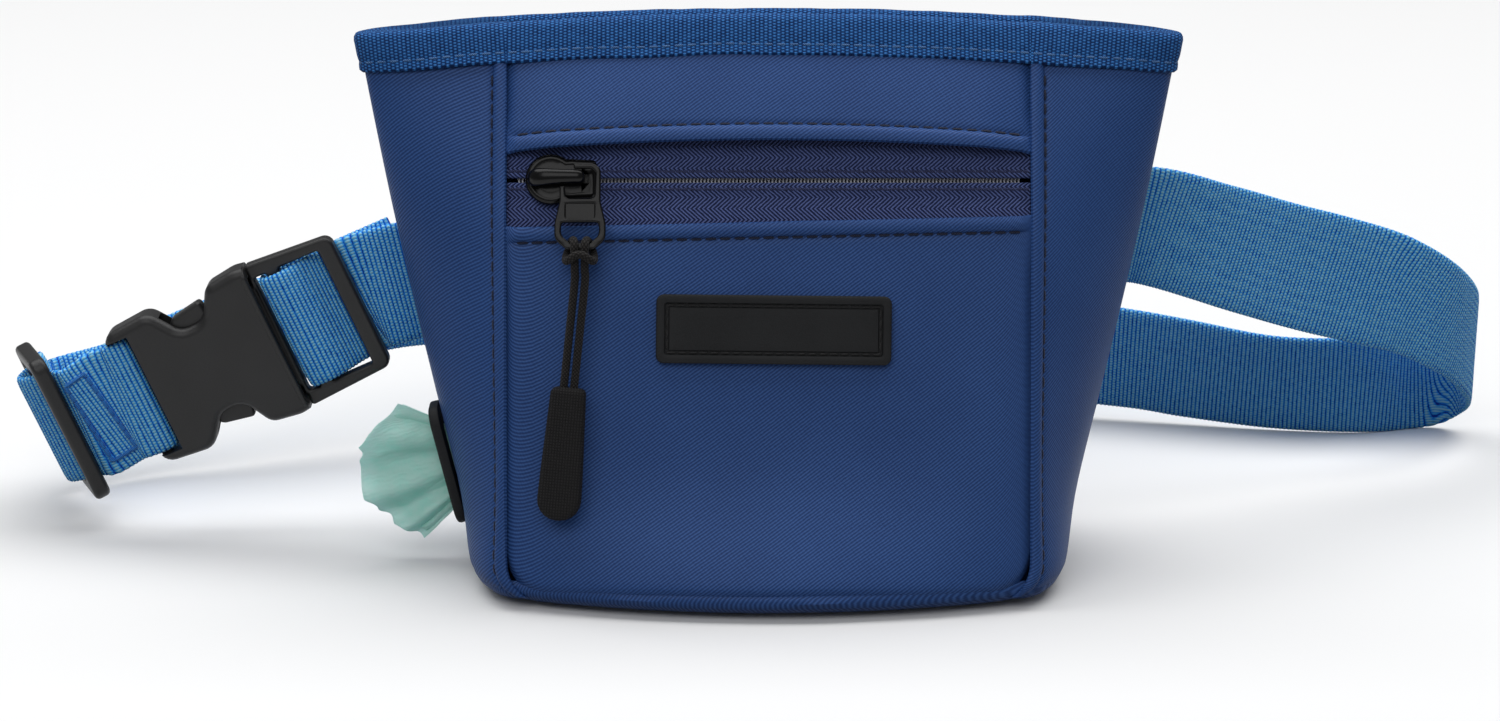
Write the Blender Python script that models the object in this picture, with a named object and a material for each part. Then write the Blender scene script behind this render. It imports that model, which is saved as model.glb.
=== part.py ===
"""Treat pouch on a webbing waist belt.

A box bag whose mouth is pinched shut by magnets, with gussets that fold outwards at the rim, a zipped
front pocket, a rubber slot that lets waste bags out of the left gusset, and a 25 mm belt that is closed
by a side-release buckle. Front faces -Y, +X is to the right and the base stands on Z = 0.
"""
from math import atan, cos, pi, radians, sin, sqrt, tan

import bmesh
import bpy
from mathutils import Matrix, Vector

MM = 0.001
GAP = 0.3 * MM
RUN_GAP = 0.5 * MM

# Pouch body
RIM_HEIGHT = 112 * MM
RIM_DROP = 4 * MM
BASE_DEPTH = 58 * MM
PANEL_WIDTH = 103 * MM
PANEL_CORNER = 8 * MM
WING_AT_RIM = 30.5 * MM
WING_AT_BASE = 3.5 * MM
MOUTH_Y = 10 * MM
FABRIC = 1.0 * MM
LINING = 0.6 * MM
BASE_BOARD = 1.2 * MM
BINDING_HEIGHT = 7.5 * MM
BINDING_THICK = 0.7 * MM
FOLD_GAP = 0.6 * MM
FRONT_LEAN_POWER = 1.6
BACK_LEAN_POWER = 1.3
TIP_POWER = 0.75

# Zipped pocket in the front wall
ZIP_BELOW_RIM = 30.2 * MM
ZIP_END_GAP = 0.6 * MM
TEETH_END_GAP = 6.4 * MM
ZIP_UP = 7.0 * MM
ZIP_DOWN = 7.9 * MM
YOKE_SAG = 2.0 * MM
FOLD_SLANT = 0.021
TAPE = 0.6 * MM
TAPE_WIDTH = 11.5 * MM
TEETH_GAP = 1.4 * MM
TEETH_DEPTH = 0.8 * MM
TEETH_REACH = 1.9 * MM
TEETH_PITCH = 3.0 * MM
TEETH_HEIGHT = 0.8 * MM
SLIDER_INSET = 10.9 * MM
SLIDER_LENGTH = 14 * MM
SLIDER_NOSE = 10 * MM
SLIDER_TAIL = 7 * MM
SLIDER_TOP = 1.8 * MM
SLIDER_UNDER = 0.9 * MM
SLIDER_POST = 3 * MM
SLIDER_LIP = 1.2 * MM
CROWN_RISE = 3.2 * MM
CROWN_BAR_R = 0.7 * MM
CROWN_INSET = 1.4 * MM
CROWN_TURN = 0.6 * MM
BARREL_R = 1.7 * MM
PULLER_OFFSET = 3 * MM
PULLER_LENGTH = 14.5 * MM
PULLER_TOP = 7.6 * MM
PULLER_FOOT = 10 * MM
PULLER_THICK = 1.4 * MM
PULLER_SHOULDER = 5 * MM
PULLER_ROUND = 2 * MM
EYE_BAR = 1.7 * MM
EYE_TALL = 3.6 * MM
EYE_SIDE = 1.9 * MM
CORD_D = 1.9 * MM
TAG_LENGTH = 26 * MM
TAG_TOP = 6.8 * MM
TAG_FOOT = 8.8 * MM
TAG_THICK = 4 * MM
TAG_ROUND = 4 * MM
TAG_SHOULDER = 1.6 * MM
TAG_EDGE = 0.9 * MM
TAG_OFFSET = 0.6 * MM
TAG_BELOW_ZIP = 51.3 * MM
TAG_TILT = radians(5)

# Rubber label on the pocket
LABEL_X = 1 * MM
LABEL_BELOW_ZIP = 27.6 * MM
LABEL_WIDTH = 46 * MM
LABEL_TALL = 13.6 * MM
LABEL_THICK = 1.5 * MM
LABEL_BORDER = 1.7 * MM
LABEL_RECESS = 0.5 * MM
LABEL_TURN = radians(-0.6)

# Magnets in the lips
MAGNET_D = 12 * MM
MAGNET_THICK = 1.0 * MM
MAGNET_X = 22 * MM
MAGNET_BELOW_RIM = 16 * MM
LIP_SPACE = 1.6 * MM
POCKET_SPACE = 3.8 * MM

# Waste-bag dispenser in the left gusset
SLOT_HEIGHT = 21.5 * MM
SLOT_LENGTH = 17 * MM
SLOT_WIDTH = 3.2 * MM
PLATE_LENGTH = 25 * MM
PLATE_WIDTH = 11 * MM
PLATE_THICK = 2.2 * MM
PLATE_ROUND = 4 * MM
PLATE_EDGE = 0.5 * MM
SLOT_ROUND = 1.4 * MM
ROLL_R = 12.5 * MM
ROLL_LENGTH = 52 * MM
ROLL_INSET = 15.5 * MM
CORE_R = 6 * MM
CORE_WALL = 1 * MM
FILM = 0.5 * MM
TAIL_ROOT = 15 * MM
TAIL_END = 24 * MM
TAIL_OUT = 15 * MM
PLEAT = 1.6 * MM
PLEATS = 6
DIVIDER_SPACE = 3 * MM
DIVIDER_RISE = 8 * MM

# Belt
WEB_WIDTH = 25 * MM
WEB_THICK = 1.5 * MM
SLEEVE_HALF = 40 * MM
SLEEVE_HEIGHT = 58.4 * MM
SLEEVE_SLACK = 4 * MM
SLEEVE_FOLD = 1.2 * MM
SLEEVE_FLANGE = 4 * MM
BELT_SLANT = 0.066

# Side-release buckle, in its own frame: u from the female end to the male end, v up its width, n to the front
BUCKLE_OUT = 78.5 * MM
BUCKLE_BEHIND = -1.84 * MM
BUCKLE_HEIGHT = 28.9 * MM
BUCKLE_TILT = radians(24.1)
BUCKLE_LENGTH = 50.9 * MM
BUCKLE_MOUTH = 32.6 * MM
MOUTH_SIDE = 4.1 * MM
LOBE_SIDE = 3.2 * MM
WAIST_SIDE = -3 * MM
MOUTH_BAND = 8.5 * MM
WAIST_START = 12 * MM
WAIST_END = 17 * MM
LOBE_START = 11 * MM
FEMALE_THICK = 8 * MM
MALE_SIDE = 1.9 * MM
MALE_THICK = 2.6 * MM
NECK_STEP = 3 * MM
NECK_REACH = 2.4 * MM
LADDER_LIP = 0.9 * MM
LADDER_SLOT = 2.6 * MM
BAR = 2.8 * MM
END_BAR = 2.2 * MM
END_SLOT = 3 * MM
END_WALL = 2.4 * MM
CAVITY_THICK = 4.4 * MM
PRONG_THICK = 3.6 * MM
PRONG_INSET = 4.1 * MM
PRONG_BARB = 5 * MM
PRONG_LENGTH = 17.6 * MM
GUIDE_WIDTH = 7 * MM

# Tri-glide adjuster
TRI_SIDE = 4 * MM
TRI_LENGTH = 20 * MM
TRI_THICK = 2.6 * MM
TRI_FROM_BUCKLE = Vector((-15.7, 8.2, -6.4)) * MM
TRI_ALONG = Vector((-0.33, 0.94, -0.06)).normalized()

# Sizes that follow from the ones above
HALF_DEPTH = BASE_DEPTH / 2
PANEL_HALF = PANEL_WIDTH / 2
RIM_HALF = PANEL_HALF + WING_AT_RIM
BASE_HALF = PANEL_HALF + WING_AT_BASE
LIP = FABRIC + FOLD_GAP + BINDING_THICK + GAP
WALL_FOOT = BASE_BOARD + GAP
ZIP_HEIGHT = RIM_HEIGHT - ZIP_BELOW_RIM
ZIP_HALF = PANEL_HALF - ZIP_END_GAP
SLIDER_X = -PANEL_HALF + SLIDER_INSET
PULLER_X = SLIDER_X + PULLER_OFFSET
TAG_X = SLIDER_X + TAG_OFFSET
TAG_HEIGHT = ZIP_HEIGHT - TAG_BELOW_ZIP
LABEL_HEIGHT = ZIP_HEIGHT - LABEL_BELOW_ZIP
ROLL_FOOT = BASE_BOARD + RUN_GAP
ROLL_X = -PANEL_HALF + ROLL_INSET
DIVIDER_X = ROLL_X + ROLL_R + DIVIDER_SPACE
DIVIDER_TOP = ROLL_FOOT + ROLL_LENGTH + DIVIDER_RISE
WEB_HALF = WEB_WIDTH / 2
WEB_SLOT = WEB_HALF + RUN_GAP


def clear_scene():
    for item in list(bpy.data.objects):
        bpy.data.objects.remove(item, do_unlink=True)


def material(name, colour, roughness, metallic=0.0):
    made = bpy.data.materials.new(name)
    made.use_nodes = True
    shader = made.node_tree.nodes["Principled BSDF"]
    shader.inputs["Base Color"].default_value = (*colour, 1.0)
    shader.inputs["Roughness"].default_value = roughness
    shader.inputs["Metallic"].default_value = metallic
    return made


clear_scene()
NAVY = material("navy_twill", (0.022, 0.050, 0.165), 0.62)
BINDING = material("binding_tape", (0.014, 0.070, 0.225), 0.72)
LINER = material("grey_lining", (0.10, 0.11, 0.13), 0.55)
WEBBING = material("blue_webbing", (0.026, 0.145, 0.430), 0.78)
TAPE_CLOTH = material("zip_tape", (0.030, 0.038, 0.115), 0.75)
TEETH = material("zip_teeth", (0.035, 0.042, 0.110), 0.42)
SLIDER_METAL = material("black_metal", (0.012, 0.012, 0.014), 0.24, 0.6)
RUBBER = material("black_rubber", (0.016, 0.016, 0.017), 0.58)
PLASTIC = material("black_plastic", (0.022, 0.022, 0.024), 0.45)
CORD = material("black_cord", (0.014, 0.014, 0.016), 0.85)
MAGNET = material("magnet_steel", (0.45, 0.45, 0.47), 0.35, 1.0)
FILM_MINT = material("mint_film", (0.31, 0.68, 0.58), 0.38)
CORE_PLASTIC = material("core_plastic", (0.62, 0.62, 0.60), 0.5)


def empty(name, place, parent=None):
    """Joint axis that the moving pieces hang from."""
    made = bpy.data.objects.new(name, None)
    made.empty_display_size = 0.01
    made.location = place
    bpy.context.scene.collection.objects.link(made)
    if parent:
        made.parent = parent
        made.matrix_parent_inverse = Matrix.Translation(parent["place"]).inverted()
    made["place"] = Vector(place)
    return made


def add(name, mesh, finish, pivot=None, frame=None, smooth=30):
    """Put a mesh into the scene, in the world frame or in a frame of its own."""
    made = bpy.data.objects.new(name, mesh)
    mesh.materials.clear()
    mesh.materials.append(finish)
    bpy.context.scene.collection.objects.link(made)
    mesh.shade_smooth()
    mesh.set_sharp_from_angle(angle=radians(smooth))
    if frame is not None:
        made.matrix_world = frame
    if pivot is not None:
        made.parent = pivot
        made.matrix_parent_inverse = Matrix.Translation(pivot["place"]).inverted()
    return made


def finish_mesh(name, bm):
    bmesh.ops.recalc_face_normals(bm, faces=bm.faces)
    mesh = bpy.data.meshes.new(name)
    bm.to_mesh(mesh)
    bm.free()
    return mesh


def slab_mesh(name, outer, inner):
    """Closed sheet between two grids of points with the same rows and columns."""
    bm = bmesh.new()
    rows = len(outer)
    columns = len(outer[0])
    sides = [[[bm.verts.new(point) for point in row] for row in grid] for grid in (outer, inner)]
    for grid in sides:
        for i in range(rows - 1):
            for j in range(columns - 1):
                bm.faces.new((grid[i][j], grid[i][j + 1], grid[i + 1][j + 1], grid[i + 1][j]))
    rim = [(0, j) for j in range(columns)]
    rim += [(i, columns - 1) for i in range(1, rows)]
    rim += [(rows - 1, j) for j in range(columns - 2, -1, -1)]
    rim += [(i, 0) for i in range(rows - 2, 0, -1)]
    for (a, b), (c, d) in zip(rim, rim[1:] + rim[:1]):
        bm.faces.new((sides[0][a][b], sides[0][c][d], sides[1][c][d], sides[1][a][b]))
    return finish_mesh(name, bm)


def loft_mesh(name, sections):
    """Closed solid through a row of closed sections with the same number of points."""
    bm = bmesh.new()
    rings = [[bm.verts.new(point) for point in section] for section in sections]
    for low, high in zip(rings, rings[1:]):
        for i in range(len(low)):
            j = (i + 1) % len(low)
            bm.faces.new((low[i], low[j], high[j], high[i]))
    bm.faces.new(list(reversed(rings[0])))
    bm.faces.new(rings[-1])
    return finish_mesh(name, bm)


def rounded(corners, steps=3):
    """Outline through corners (x, y, radius), each turned into an arc."""
    points = []
    count = len(corners)
    for i, (x, y, radius) in enumerate(corners):
        here = Vector((x, y))
        back = Vector(corners[i - 1][:2]) - here
        ahead = Vector(corners[(i + 1) % count][:2]) - here
        if radius == 0:
            points.append(here)
            continue
        half = back.angle(ahead) / 2
        reach = radius / tan(half)
        start = here + back.normalized() * reach
        end = here + ahead.normalized() * reach
        centre = here + (back.normalized() + ahead.normalized()).normalized() * (radius / sin(half))
        first = start - centre
        sweep = first.angle_signed(end - centre)
        for k in range(steps + 1):
            turned = first.copy()
            turned.rotate(Matrix.Rotation(-sweep * k / steps, 2))
            points.append(centre + turned)
    return points


def box_outline(x0, x1, y0, y1, radius=0.0):
    return [(x0, y0, radius), (x1, y0, radius), (x1, y1, radius), (x0, y1, radius)]


def wound(loop, inwards):
    """The same loop, wound so that its bevel eats into the plate."""
    area = sum(a[0] * b[1] - b[0] * a[1] for a, b in zip(loop, loop[1:] + loop[:1]))
    return list(reversed(loop)) if (area < 0) != inwards else loop


def plate_mesh(name, loops, thick, bevel=0.0, bevel_steps=1):
    """Flat plate in the local XY plane, centred on local Z = 0: an outline, then its holes."""
    curve = bpy.data.curves.new(name, "CURVE")
    curve.dimensions = "2D"
    curve.fill_mode = "BOTH"
    curve.extrude = thick / 2 - bevel
    curve.bevel_depth = bevel
    curve.bevel_resolution = bevel_steps
    curve.offset = -bevel
    for loop in [wound(loops[0], False)] + [wound(hole, True) for hole in loops[1:]]:
        spline = curve.splines.new("POLY")
        spline.points.add(len(loop) - 1)
        spline.use_cyclic_u = True
        for point, place in zip(spline.points, loop):
            point.co = (place[0], place[1], 0.0, 1.0)
    holder = bpy.data.objects.new(name, curve)
    mesh = bpy.data.meshes.new_from_object(holder)
    bpy.data.objects.remove(holder)
    bpy.data.curves.remove(curve)
    bm = bmesh.new()
    bm.from_mesh(mesh)
    bmesh.ops.remove_doubles(bm, verts=bm.verts, dist=0.002 * MM)
    bmesh.ops.recalc_face_normals(bm, faces=bm.faces)
    bm.to_mesh(mesh)
    bm.free()
    return mesh


def tool(name, mesh, frame=None):
    """Hidden shape that only cuts or joins another one."""
    made = add(name, mesh, PLASTIC, frame=frame)
    made.hide_render = True
    made.display_type = "WIRE"
    return made


def combine(target, other, operation):
    step = target.modifiers.new(operation.lower() + "_" + other.name, "BOOLEAN")
    step.operation = operation
    step.object = other
    step.solver = "EXACT"


def box_mesh(name, low, high):
    corners = [(low[0], low[1]), (high[0], low[1]), (high[0], high[1]), (low[0], high[1])]
    sections = [[Vector((x, y, z)) for x, y in corners] for z in (low[2], high[2])]
    return loft_mesh(name, sections)


def spread(start, end, count):
    return [start + (end - start) * i / (count - 1) for i in range(count)]


def smooth_path(points, per_span):
    """Catmull-Rom curve through vectors of any size."""
    ends = [points[0] * 2 - points[1]] + list(points) + [points[-1] * 2 - points[-2]]
    path = []
    for a, b, c, d in zip(ends, ends[1:], ends[2:], ends[3:]):
        for k in range(per_span):
            t = k / per_span
            bend = (2 * a - 5 * b + 4 * c - d) * t ** 2 + (3 * b - a - 3 * c + d) * t ** 3
            path.append((2 * b + (c - a) * t + bend) / 2)
    path.append(points[-1])
    return path


def ribbon_mesh(name, stations, width, thick, per_span):
    """Webbing along stations of (centre, direction across its width)."""
    centres = smooth_path([Vector(place) for place, across in stations], per_span)
    acrosses = smooth_path([Vector(across) for place, across in stations], per_span)
    sections = []
    for i, centre in enumerate(centres):
        along = (centres[min(i + 1, len(centres) - 1)] - centres[max(i - 1, 0)]).normalized()
        across = (acrosses[i] - along * acrosses[i].dot(along)).normalized()
        normal = along.cross(across)
        half = across * (width / 2)
        face = normal * (thick / 2)
        soft = across * (thick / 3)
        sections.append([centre - half - face + soft, centre + half - face - soft, centre + half,
                         centre + half + face - soft, centre - half + face + soft, centre - half])
    return loft_mesh(name, sections)


# Shape of the bag

def rise(z):
    return min(max(z / RIM_HEIGHT, 0.0), 1.0)


def front_y(z):
    return -HALF_DEPTH + (HALF_DEPTH + MOUTH_Y - LIP) * rise(z) ** FRONT_LEAN_POWER


def back_y(z):
    return HALF_DEPTH - (HALF_DEPTH - MOUTH_Y - LIP) * rise(z) ** BACK_LEAN_POWER


def slope(wall, z):
    step = 0.1 * MM
    return (wall(z + step) - wall(z - step)) / (2 * step)


def rim_z(x):
    return RIM_HEIGHT - RIM_DROP * (x / RIM_HALF) ** 2


def front_point(x, z, depth):
    """Point on the front wall, depth inwards from its outer face."""
    lean = slope(front_y, z)
    inward = Vector((0, 1, -lean)).normalized()
    return Vector((x, front_y(z), z)) + inward * depth


def back_point(x, z, depth):
    lean = slope(back_y, z)
    inward = Vector((0, -1, lean)).normalized()
    return Vector((x, back_y(z), z)) + inward * depth


def front_frame(x, z, lift, turn=0.0):
    """Frame on the front wall: local X to the right, Y up the slope, Z out of the wall by lift."""
    lean = slope(front_y, z)
    up = Vector((0, lean, 1)).normalized()
    out = Vector((0, -1, lean)).normalized()
    place = Vector((x, front_y(z), z)) + out * lift
    basis = Matrix((Vector((1, 0, 0)), up, out)).transposed().to_4x4()
    return Matrix.Translation(place) @ basis @ Matrix.Rotation(turn, 4, "Z")


def back_frame(x, z, depth):
    lean = slope(back_y, z)
    up = Vector((0, lean, 1)).normalized()
    out = Vector((0, 1, -lean)).normalized()
    place = Vector((x, back_y(z), z)) - out * depth
    basis = Matrix((Vector((-1, 0, 0)), up, out)).transposed().to_4x4()
    return Matrix.Translation(place) @ basis


CORNER_TURNS = [radians(a) for a in (0, 22.5, 45, 67.5, 90)]
CORNER_X = PANEL_HALF - PANEL_CORNER


def panel_columns():
    """Columns of a panel: even across the middle, then along the rounded lower corners."""
    corner = [CORNER_X + (PANEL_CORNER - GAP) * sin(a) for a in CORNER_TURNS[1:]]
    return [-x for x in reversed(corner)] + spread(-CORNER_X, CORNER_X, 7) + corner


def panel_foot(x):
    past = max(abs(x) - CORNER_X, 0.0)
    radius = PANEL_CORNER - GAP
    return WALL_FOOT + PANEL_CORNER - sqrt(max(radius ** 2 - past ** 2, 0.0))


def wall_mesh(name, point, columns, foot, head, rows, depth, thick):
    """Curved wall between two heights that may change along X."""
    grids = []
    for level in (depth, depth + thick):
        grids.append([[point(x, z, level) for z in spread(foot(x), head(x), rows)] for x in columns])
    return slab_mesh(name, grids[0], grids[1])


def seam_x(z):
    """Where the gusset meets the panels: straight, then round the lower corners."""
    low = max(PANEL_CORNER - (z - WALL_FOOT), 0.0)
    low = min(low, PANEL_CORNER)
    return CORNER_X + sqrt(PANEL_CORNER ** 2 - low ** 2)


def tip_x(z):
    return BASE_HALF + (RIM_HALF - BASE_HALF) * rise(z) ** TIP_POWER


def fullness(z):
    """How square the gusset's section is: square at the base, folded above, pressed flat at the rim."""
    return 1.5 + 1.5 * (1 - rise(z)) ** 3 + 2.5 * rise(z) ** 6


def gusset_point(side, turn, z, inset=0.0):
    """Point on a gusset: turn runs from -90 degrees at the front seam to 90 at the back seam."""
    middle = (front_y(z) + back_y(z)) / 2
    half = (back_y(z) - front_y(z)) / 2
    reach = tip_x(z) - seam_x(z)
    shrink = 1 - inset * sqrt(half ** 2 + reach ** 2) / (half * reach)
    across = abs(sin(turn)) ** (2 / fullness(z)) * (1 if turn > 0 else -1)
    x = seam_x(z) + shrink * reach * cos(turn) ** 2
    return Vector((side * x, middle + shrink * half * across, z))


def gusset_out(side, turn, z, offset):
    """Gusset point moved outwards along the surface normal."""
    step = 0.02
    turn = min(max(turn, -pi / 2 + step), pi / 2 - step)
    along = gusset_point(side, turn + step, z) - gusset_point(side, turn - step, z)
    up = gusset_point(side, turn, z + 0.2 * MM) - gusset_point(side, turn, z - 0.2 * MM)
    normal = along.cross(up).normalized()
    if normal.x * side < 0:
        normal.negate()
    return normal * offset


TURNS = spread(-pi / 2, pi / 2, 15)


def rim_x(turn):
    """How far out a turn of the gusset lies at the rim."""
    return RIM_HALF * cos(turn) ** 2 + PANEL_HALF * sin(turn) ** 2


def gusset_mesh(name, side):
    heights = [WALL_FOOT + PANEL_CORNER * (1 - cos(a)) for a in CORNER_TURNS]
    grids = []
    for inset in (0.0, FABRIC):
        rows = []
        for z in heights:
            rows.append([gusset_point(side, turn, z, inset) for turn in TURNS])
        for share in spread(0.16, 1.0, 9):
            rows.append([gusset_point(side, turn, panel_head(rim_x(turn)) * share, inset) for turn in TURNS])
        grids.append(rows)
    return slab_mesh(name, grids[0], grids[1])


def base_mesh(name):
    outline = [gusset_point(1, turn, WALL_FOOT) for turn in TURNS]
    outline += [gusset_point(-1, turn, WALL_FOOT) for turn in reversed(TURNS)]
    sections = [[Vector((p.x, p.y, z)) for p in outline] for z in (0.0, BASE_BOARD)]
    return loft_mesh(name, sections)


# Binding tape round the mouth

def binding_rows(top, surface):
    """Both faces of a tape folded over the rim: surface(z, offset) is a wall point moved outwards."""
    heights = (top - BINDING_HEIGHT, top - BINDING_HEIGHT / 2, top - BINDING_THICK)
    rows = []
    for over in (BINDING_THICK, 0.0):
        front = [surface(z, GAP + over) for z in heights]
        back = [surface(z, -FABRIC - FOLD_GAP - over) for z in reversed(heights)]
        front[-1].z += over
        back[0].z += over
        rows.append(front + back)
    return rows


def front_binding_mesh(name):
    grids = ([], [])
    for x in spread(-PANEL_HALF + GAP, PANEL_HALF - GAP, 13):
        outer, inner = binding_rows(rim_z(x), lambda z, offset: front_point(x, z, -offset))
        grids[0].append(outer)
        grids[1].append(inner)
    return slab_mesh(name, grids[0], grids[1])


def rear_binding_mesh(name):
    """Tape over both gussets and the back, in one piece round the bag."""
    path = [(-1, turn) for turn in TURNS] + [(0, x) for x in spread(-PANEL_HALF, PANEL_HALF, 11)[1:-1]]
    path += [(1, turn) for turn in reversed(TURNS)]
    grids = ([], [])
    for side, place in path:
        if side:
            x = rim_x(place)

            def surface(z, offset):
                inset = max(-offset, 0.0)
                push = gusset_out(side, place, z, max(offset, 0.0))
                return gusset_point(side, place, z, inset) + push
        else:
            x = place

            def surface(z, offset):
                return back_point(x, z, -offset)
        outer, inner = binding_rows(rim_z(x), surface)
        grids[0].append(outer)
        grids[1].append(inner)
    return slab_mesh(name, grids[0], grids[1])


# Pouch on the belt: fixed pieces

def build_shell():
    add("base_panel", base_mesh("base_panel"), NAVY)
    add("right_gusset", gusset_mesh("right_gusset", 1), NAVY)
    left = add("left_gusset", gusset_mesh("left_gusset", -1), NAVY)
    cut = Vector((SLOT_LENGTH / 2 + GAP, SLOT_WIDTH / 2 + GAP, PLATE_WIDTH))
    slot = box_mesh("slot_cutter", -cut, cut)
    combine(left, tool("slot_cutter", slot, dispenser_frame(0.0)), "DIFFERENCE")
    columns = panel_columns()
    back = wall_mesh("back_panel", back_point, columns, panel_foot, panel_head, 9, 0.0, FABRIC)
    add("back_panel", back, NAVY)
    lining_columns = spread(-CORNER_X + GAP, CORNER_X - GAP, 7)
    lining = wall_mesh("back_lining", back_point, lining_columns, lambda x: WALL_FOOT + GAP, lining_head, 8,
                       FABRIC + LIP_SPACE, LINING)
    add("back_lining", lining, LINER)
    add("rear_binding", rear_binding_mesh("rear_binding"), BINDING)
    for name, x in (("back_magnet_left", -MAGNET_X), ("back_magnet_right", MAGNET_X)):
        frame = back_frame(x, RIM_HEIGHT - MAGNET_BELOW_RIM, FABRIC + LIP_SPACE / 2)
        add(name, disc_mesh(name, MAGNET_D / 2, MAGNET_THICK), MAGNET, frame=frame)


def panel_head(x):
    return rim_z(x) - BINDING_THICK - GAP


def lining_head(x):
    return rim_z(x) - BINDING_HEIGHT - GAP


def disc_mesh(name, radius, thick, hole=0.0, sides=24):
    loops = [[Vector((radius * cos(a), radius * sin(a))) for a in spread(0, 2 * pi, sides + 1)[:-1]]]
    if hole:
        loops.append([Vector((hole * cos(a), hole * sin(a))) for a in spread(0, 2 * pi, sides + 1)[:-1]])
    return plate_mesh(name, loops, thick)


# Waste bags

def dispenser_frame(lift):
    """Frame on the fold of the left gusset: local X up the fold, Y to the back, Z out of the gusset."""
    lean = (tip_x(SLOT_HEIGHT + MM) - tip_x(SLOT_HEIGHT - MM)) / (2 * MM)
    up = Vector((-lean, 0, 1)).normalized()
    out = Vector((-1, 0, -lean)).normalized()
    place = gusset_point(-1, 0.0, SLOT_HEIGHT) + out * lift
    basis = Matrix((up, out.cross(up), out)).transposed().to_4x4()
    return Matrix.Translation(place) @ basis


def roll_y():
    """Middle of the room between both linings at the roll's upper end."""
    top = ROLL_FOOT + ROLL_LENGTH
    near = front_point(0, top, FABRIC + POCKET_SPACE + LINING).y
    far = back_point(0, top, FABRIC + LIP_SPACE + LINING).y
    return (near + far) / 2


def film_start():
    """Where the film leaves the roll: a tangent from the slot to the roll's front, as (out, back)."""
    centre = dispenser_frame(0.0).inverted() @ Vector((ROLL_X, roll_y(), SLOT_HEIGHT))
    radius = ROLL_R + GAP + FILM / 2
    place = Vector((centre.z, centre.y))
    reach = sqrt(place.length_squared - radius ** 2)
    turn = atan(radius / reach)
    along = place.normalized()
    ahead = Vector((along.x * cos(turn) - along.y * sin(turn), along.x * sin(turn) + along.y * cos(turn)))
    return ahead * reach


def tail_mesh(name):
    """Bag film: from the roll to the slot, then a fan of pleats outside."""
    frame = dispenser_frame(0.0)
    start = film_start()
    mouth = -FABRIC - GAP
    path = [(start.x, start.y), ((start.x + mouth) / 2, start.y / 2), (mouth, 0.0)]
    path += [(out, 0.0) for out in spread(PLATE_THICK + 2 * GAP, TAIL_OUT, 6)]
    grids = []
    for face in (FILM / 2, -FILM / 2):
        rows = []
        for out, back in path:
            fan = max(out - PLATE_THICK, 0.0) / (TAIL_OUT - PLATE_THICK)
            width = TAIL_ROOT + (TAIL_END - TAIL_ROOT) * fan ** 0.7
            row = []
            for share in spread(0, 1, 19):
                pleat = PLEAT * fan * sin(share * PLEATS * pi)
                row.append(frame @ Vector((width * (share - 0.5), back + pleat + face, out)))
            rows.append(row)
        grids.append(rows)
    return slab_mesh(name, grids[0], grids[1])


def build_dispenser():
    half = (PLATE_LENGTH / 2, PLATE_WIDTH / 2)
    outline = rounded(box_outline(-half[0], half[0], -half[1], half[1], PLATE_ROUND))
    slot = (SLOT_LENGTH / 2, SLOT_WIDTH / 2)
    hole = rounded(box_outline(-slot[0], slot[0], -slot[1], slot[1], SLOT_ROUND))
    plate = plate_mesh("dispenser_plate", [outline, hole], PLATE_THICK, PLATE_EDGE)
    add("dispenser_plate", plate, RUBBER, frame=dispenser_frame(PLATE_THICK / 2 + GAP))
    add("roll_divider", divider_mesh("roll_divider"), LINER)
    roll_axis = Vector((ROLL_X, roll_y(), ROLL_FOOT + ROLL_LENGTH / 2))
    spin = empty("roll_axis", roll_axis)
    frame = Matrix.Translation(roll_axis)
    add("bag_roll", disc_mesh("bag_roll", ROLL_R, ROLL_LENGTH, CORE_R + GAP, 40), FILM_MINT, spin, frame)
    core = disc_mesh("roll_core", CORE_R, ROLL_LENGTH - 2 * GAP, CORE_R - CORE_WALL, 28)
    add("roll_core", core, CORE_PLASTIC, spin, frame)
    pull = empty("tail_axis", dispenser_frame(0.0).translation)
    add("bag_tail", tail_mesh("bag_tail"), FILM_MINT, pull)


def divider_mesh(name):
    """Wall of the roll's pocket, from the back lining to just short of the front wall."""
    foot = BASE_BOARD + GAP
    grids = []
    for x in (DIVIDER_X, DIVIDER_X + LINING):
        rows = []
        for z in spread(foot, DIVIDER_TOP, 7):
            near = front_point(x, z, FABRIC + POCKET_SPACE + LINING).y + 2 * RUN_GAP
            far = back_point(x, z, FABRIC + LIP_SPACE + LINING).y - RUN_GAP
            rows.append([Vector((x, y, z)) for y in spread(near, far, 4)])
        grids.append(rows)
    return slab_mesh(name, grids[0], grids[1])


# Front wall and its zip

def yoke_foot(x):
    return ZIP_HEIGHT + ZIP_UP - YOKE_SAG * (x / PANEL_HALF) ** 2


def pocket_head(x):
    return ZIP_HEIGHT - ZIP_DOWN + FOLD_SLANT * x


def teeth_mesh(name, side, half):
    """Rack of interlocking teeth along one tape."""
    edge = TEETH_GAP / 2
    back = side * (edge + TEETH_REACH)
    crown = []
    for i in range(int(2 * half / TEETH_PITCH)):
        start = -half + TEETH_PITCH * i
        crown.append((start, edge + TEETH_HEIGHT))
        crown.append((start + 0.3 * TEETH_PITCH, edge))
        crown.append((start + 0.7 * TEETH_PITCH, edge))
    crown.append((half, edge + TEETH_HEIGHT))
    outline = [Vector((-half, back)), Vector((half, back))]
    outline += [Vector((x, side * y)) for x, y in reversed(crown)]
    return plate_mesh(name, [outline], TEETH_DEPTH)


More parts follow.
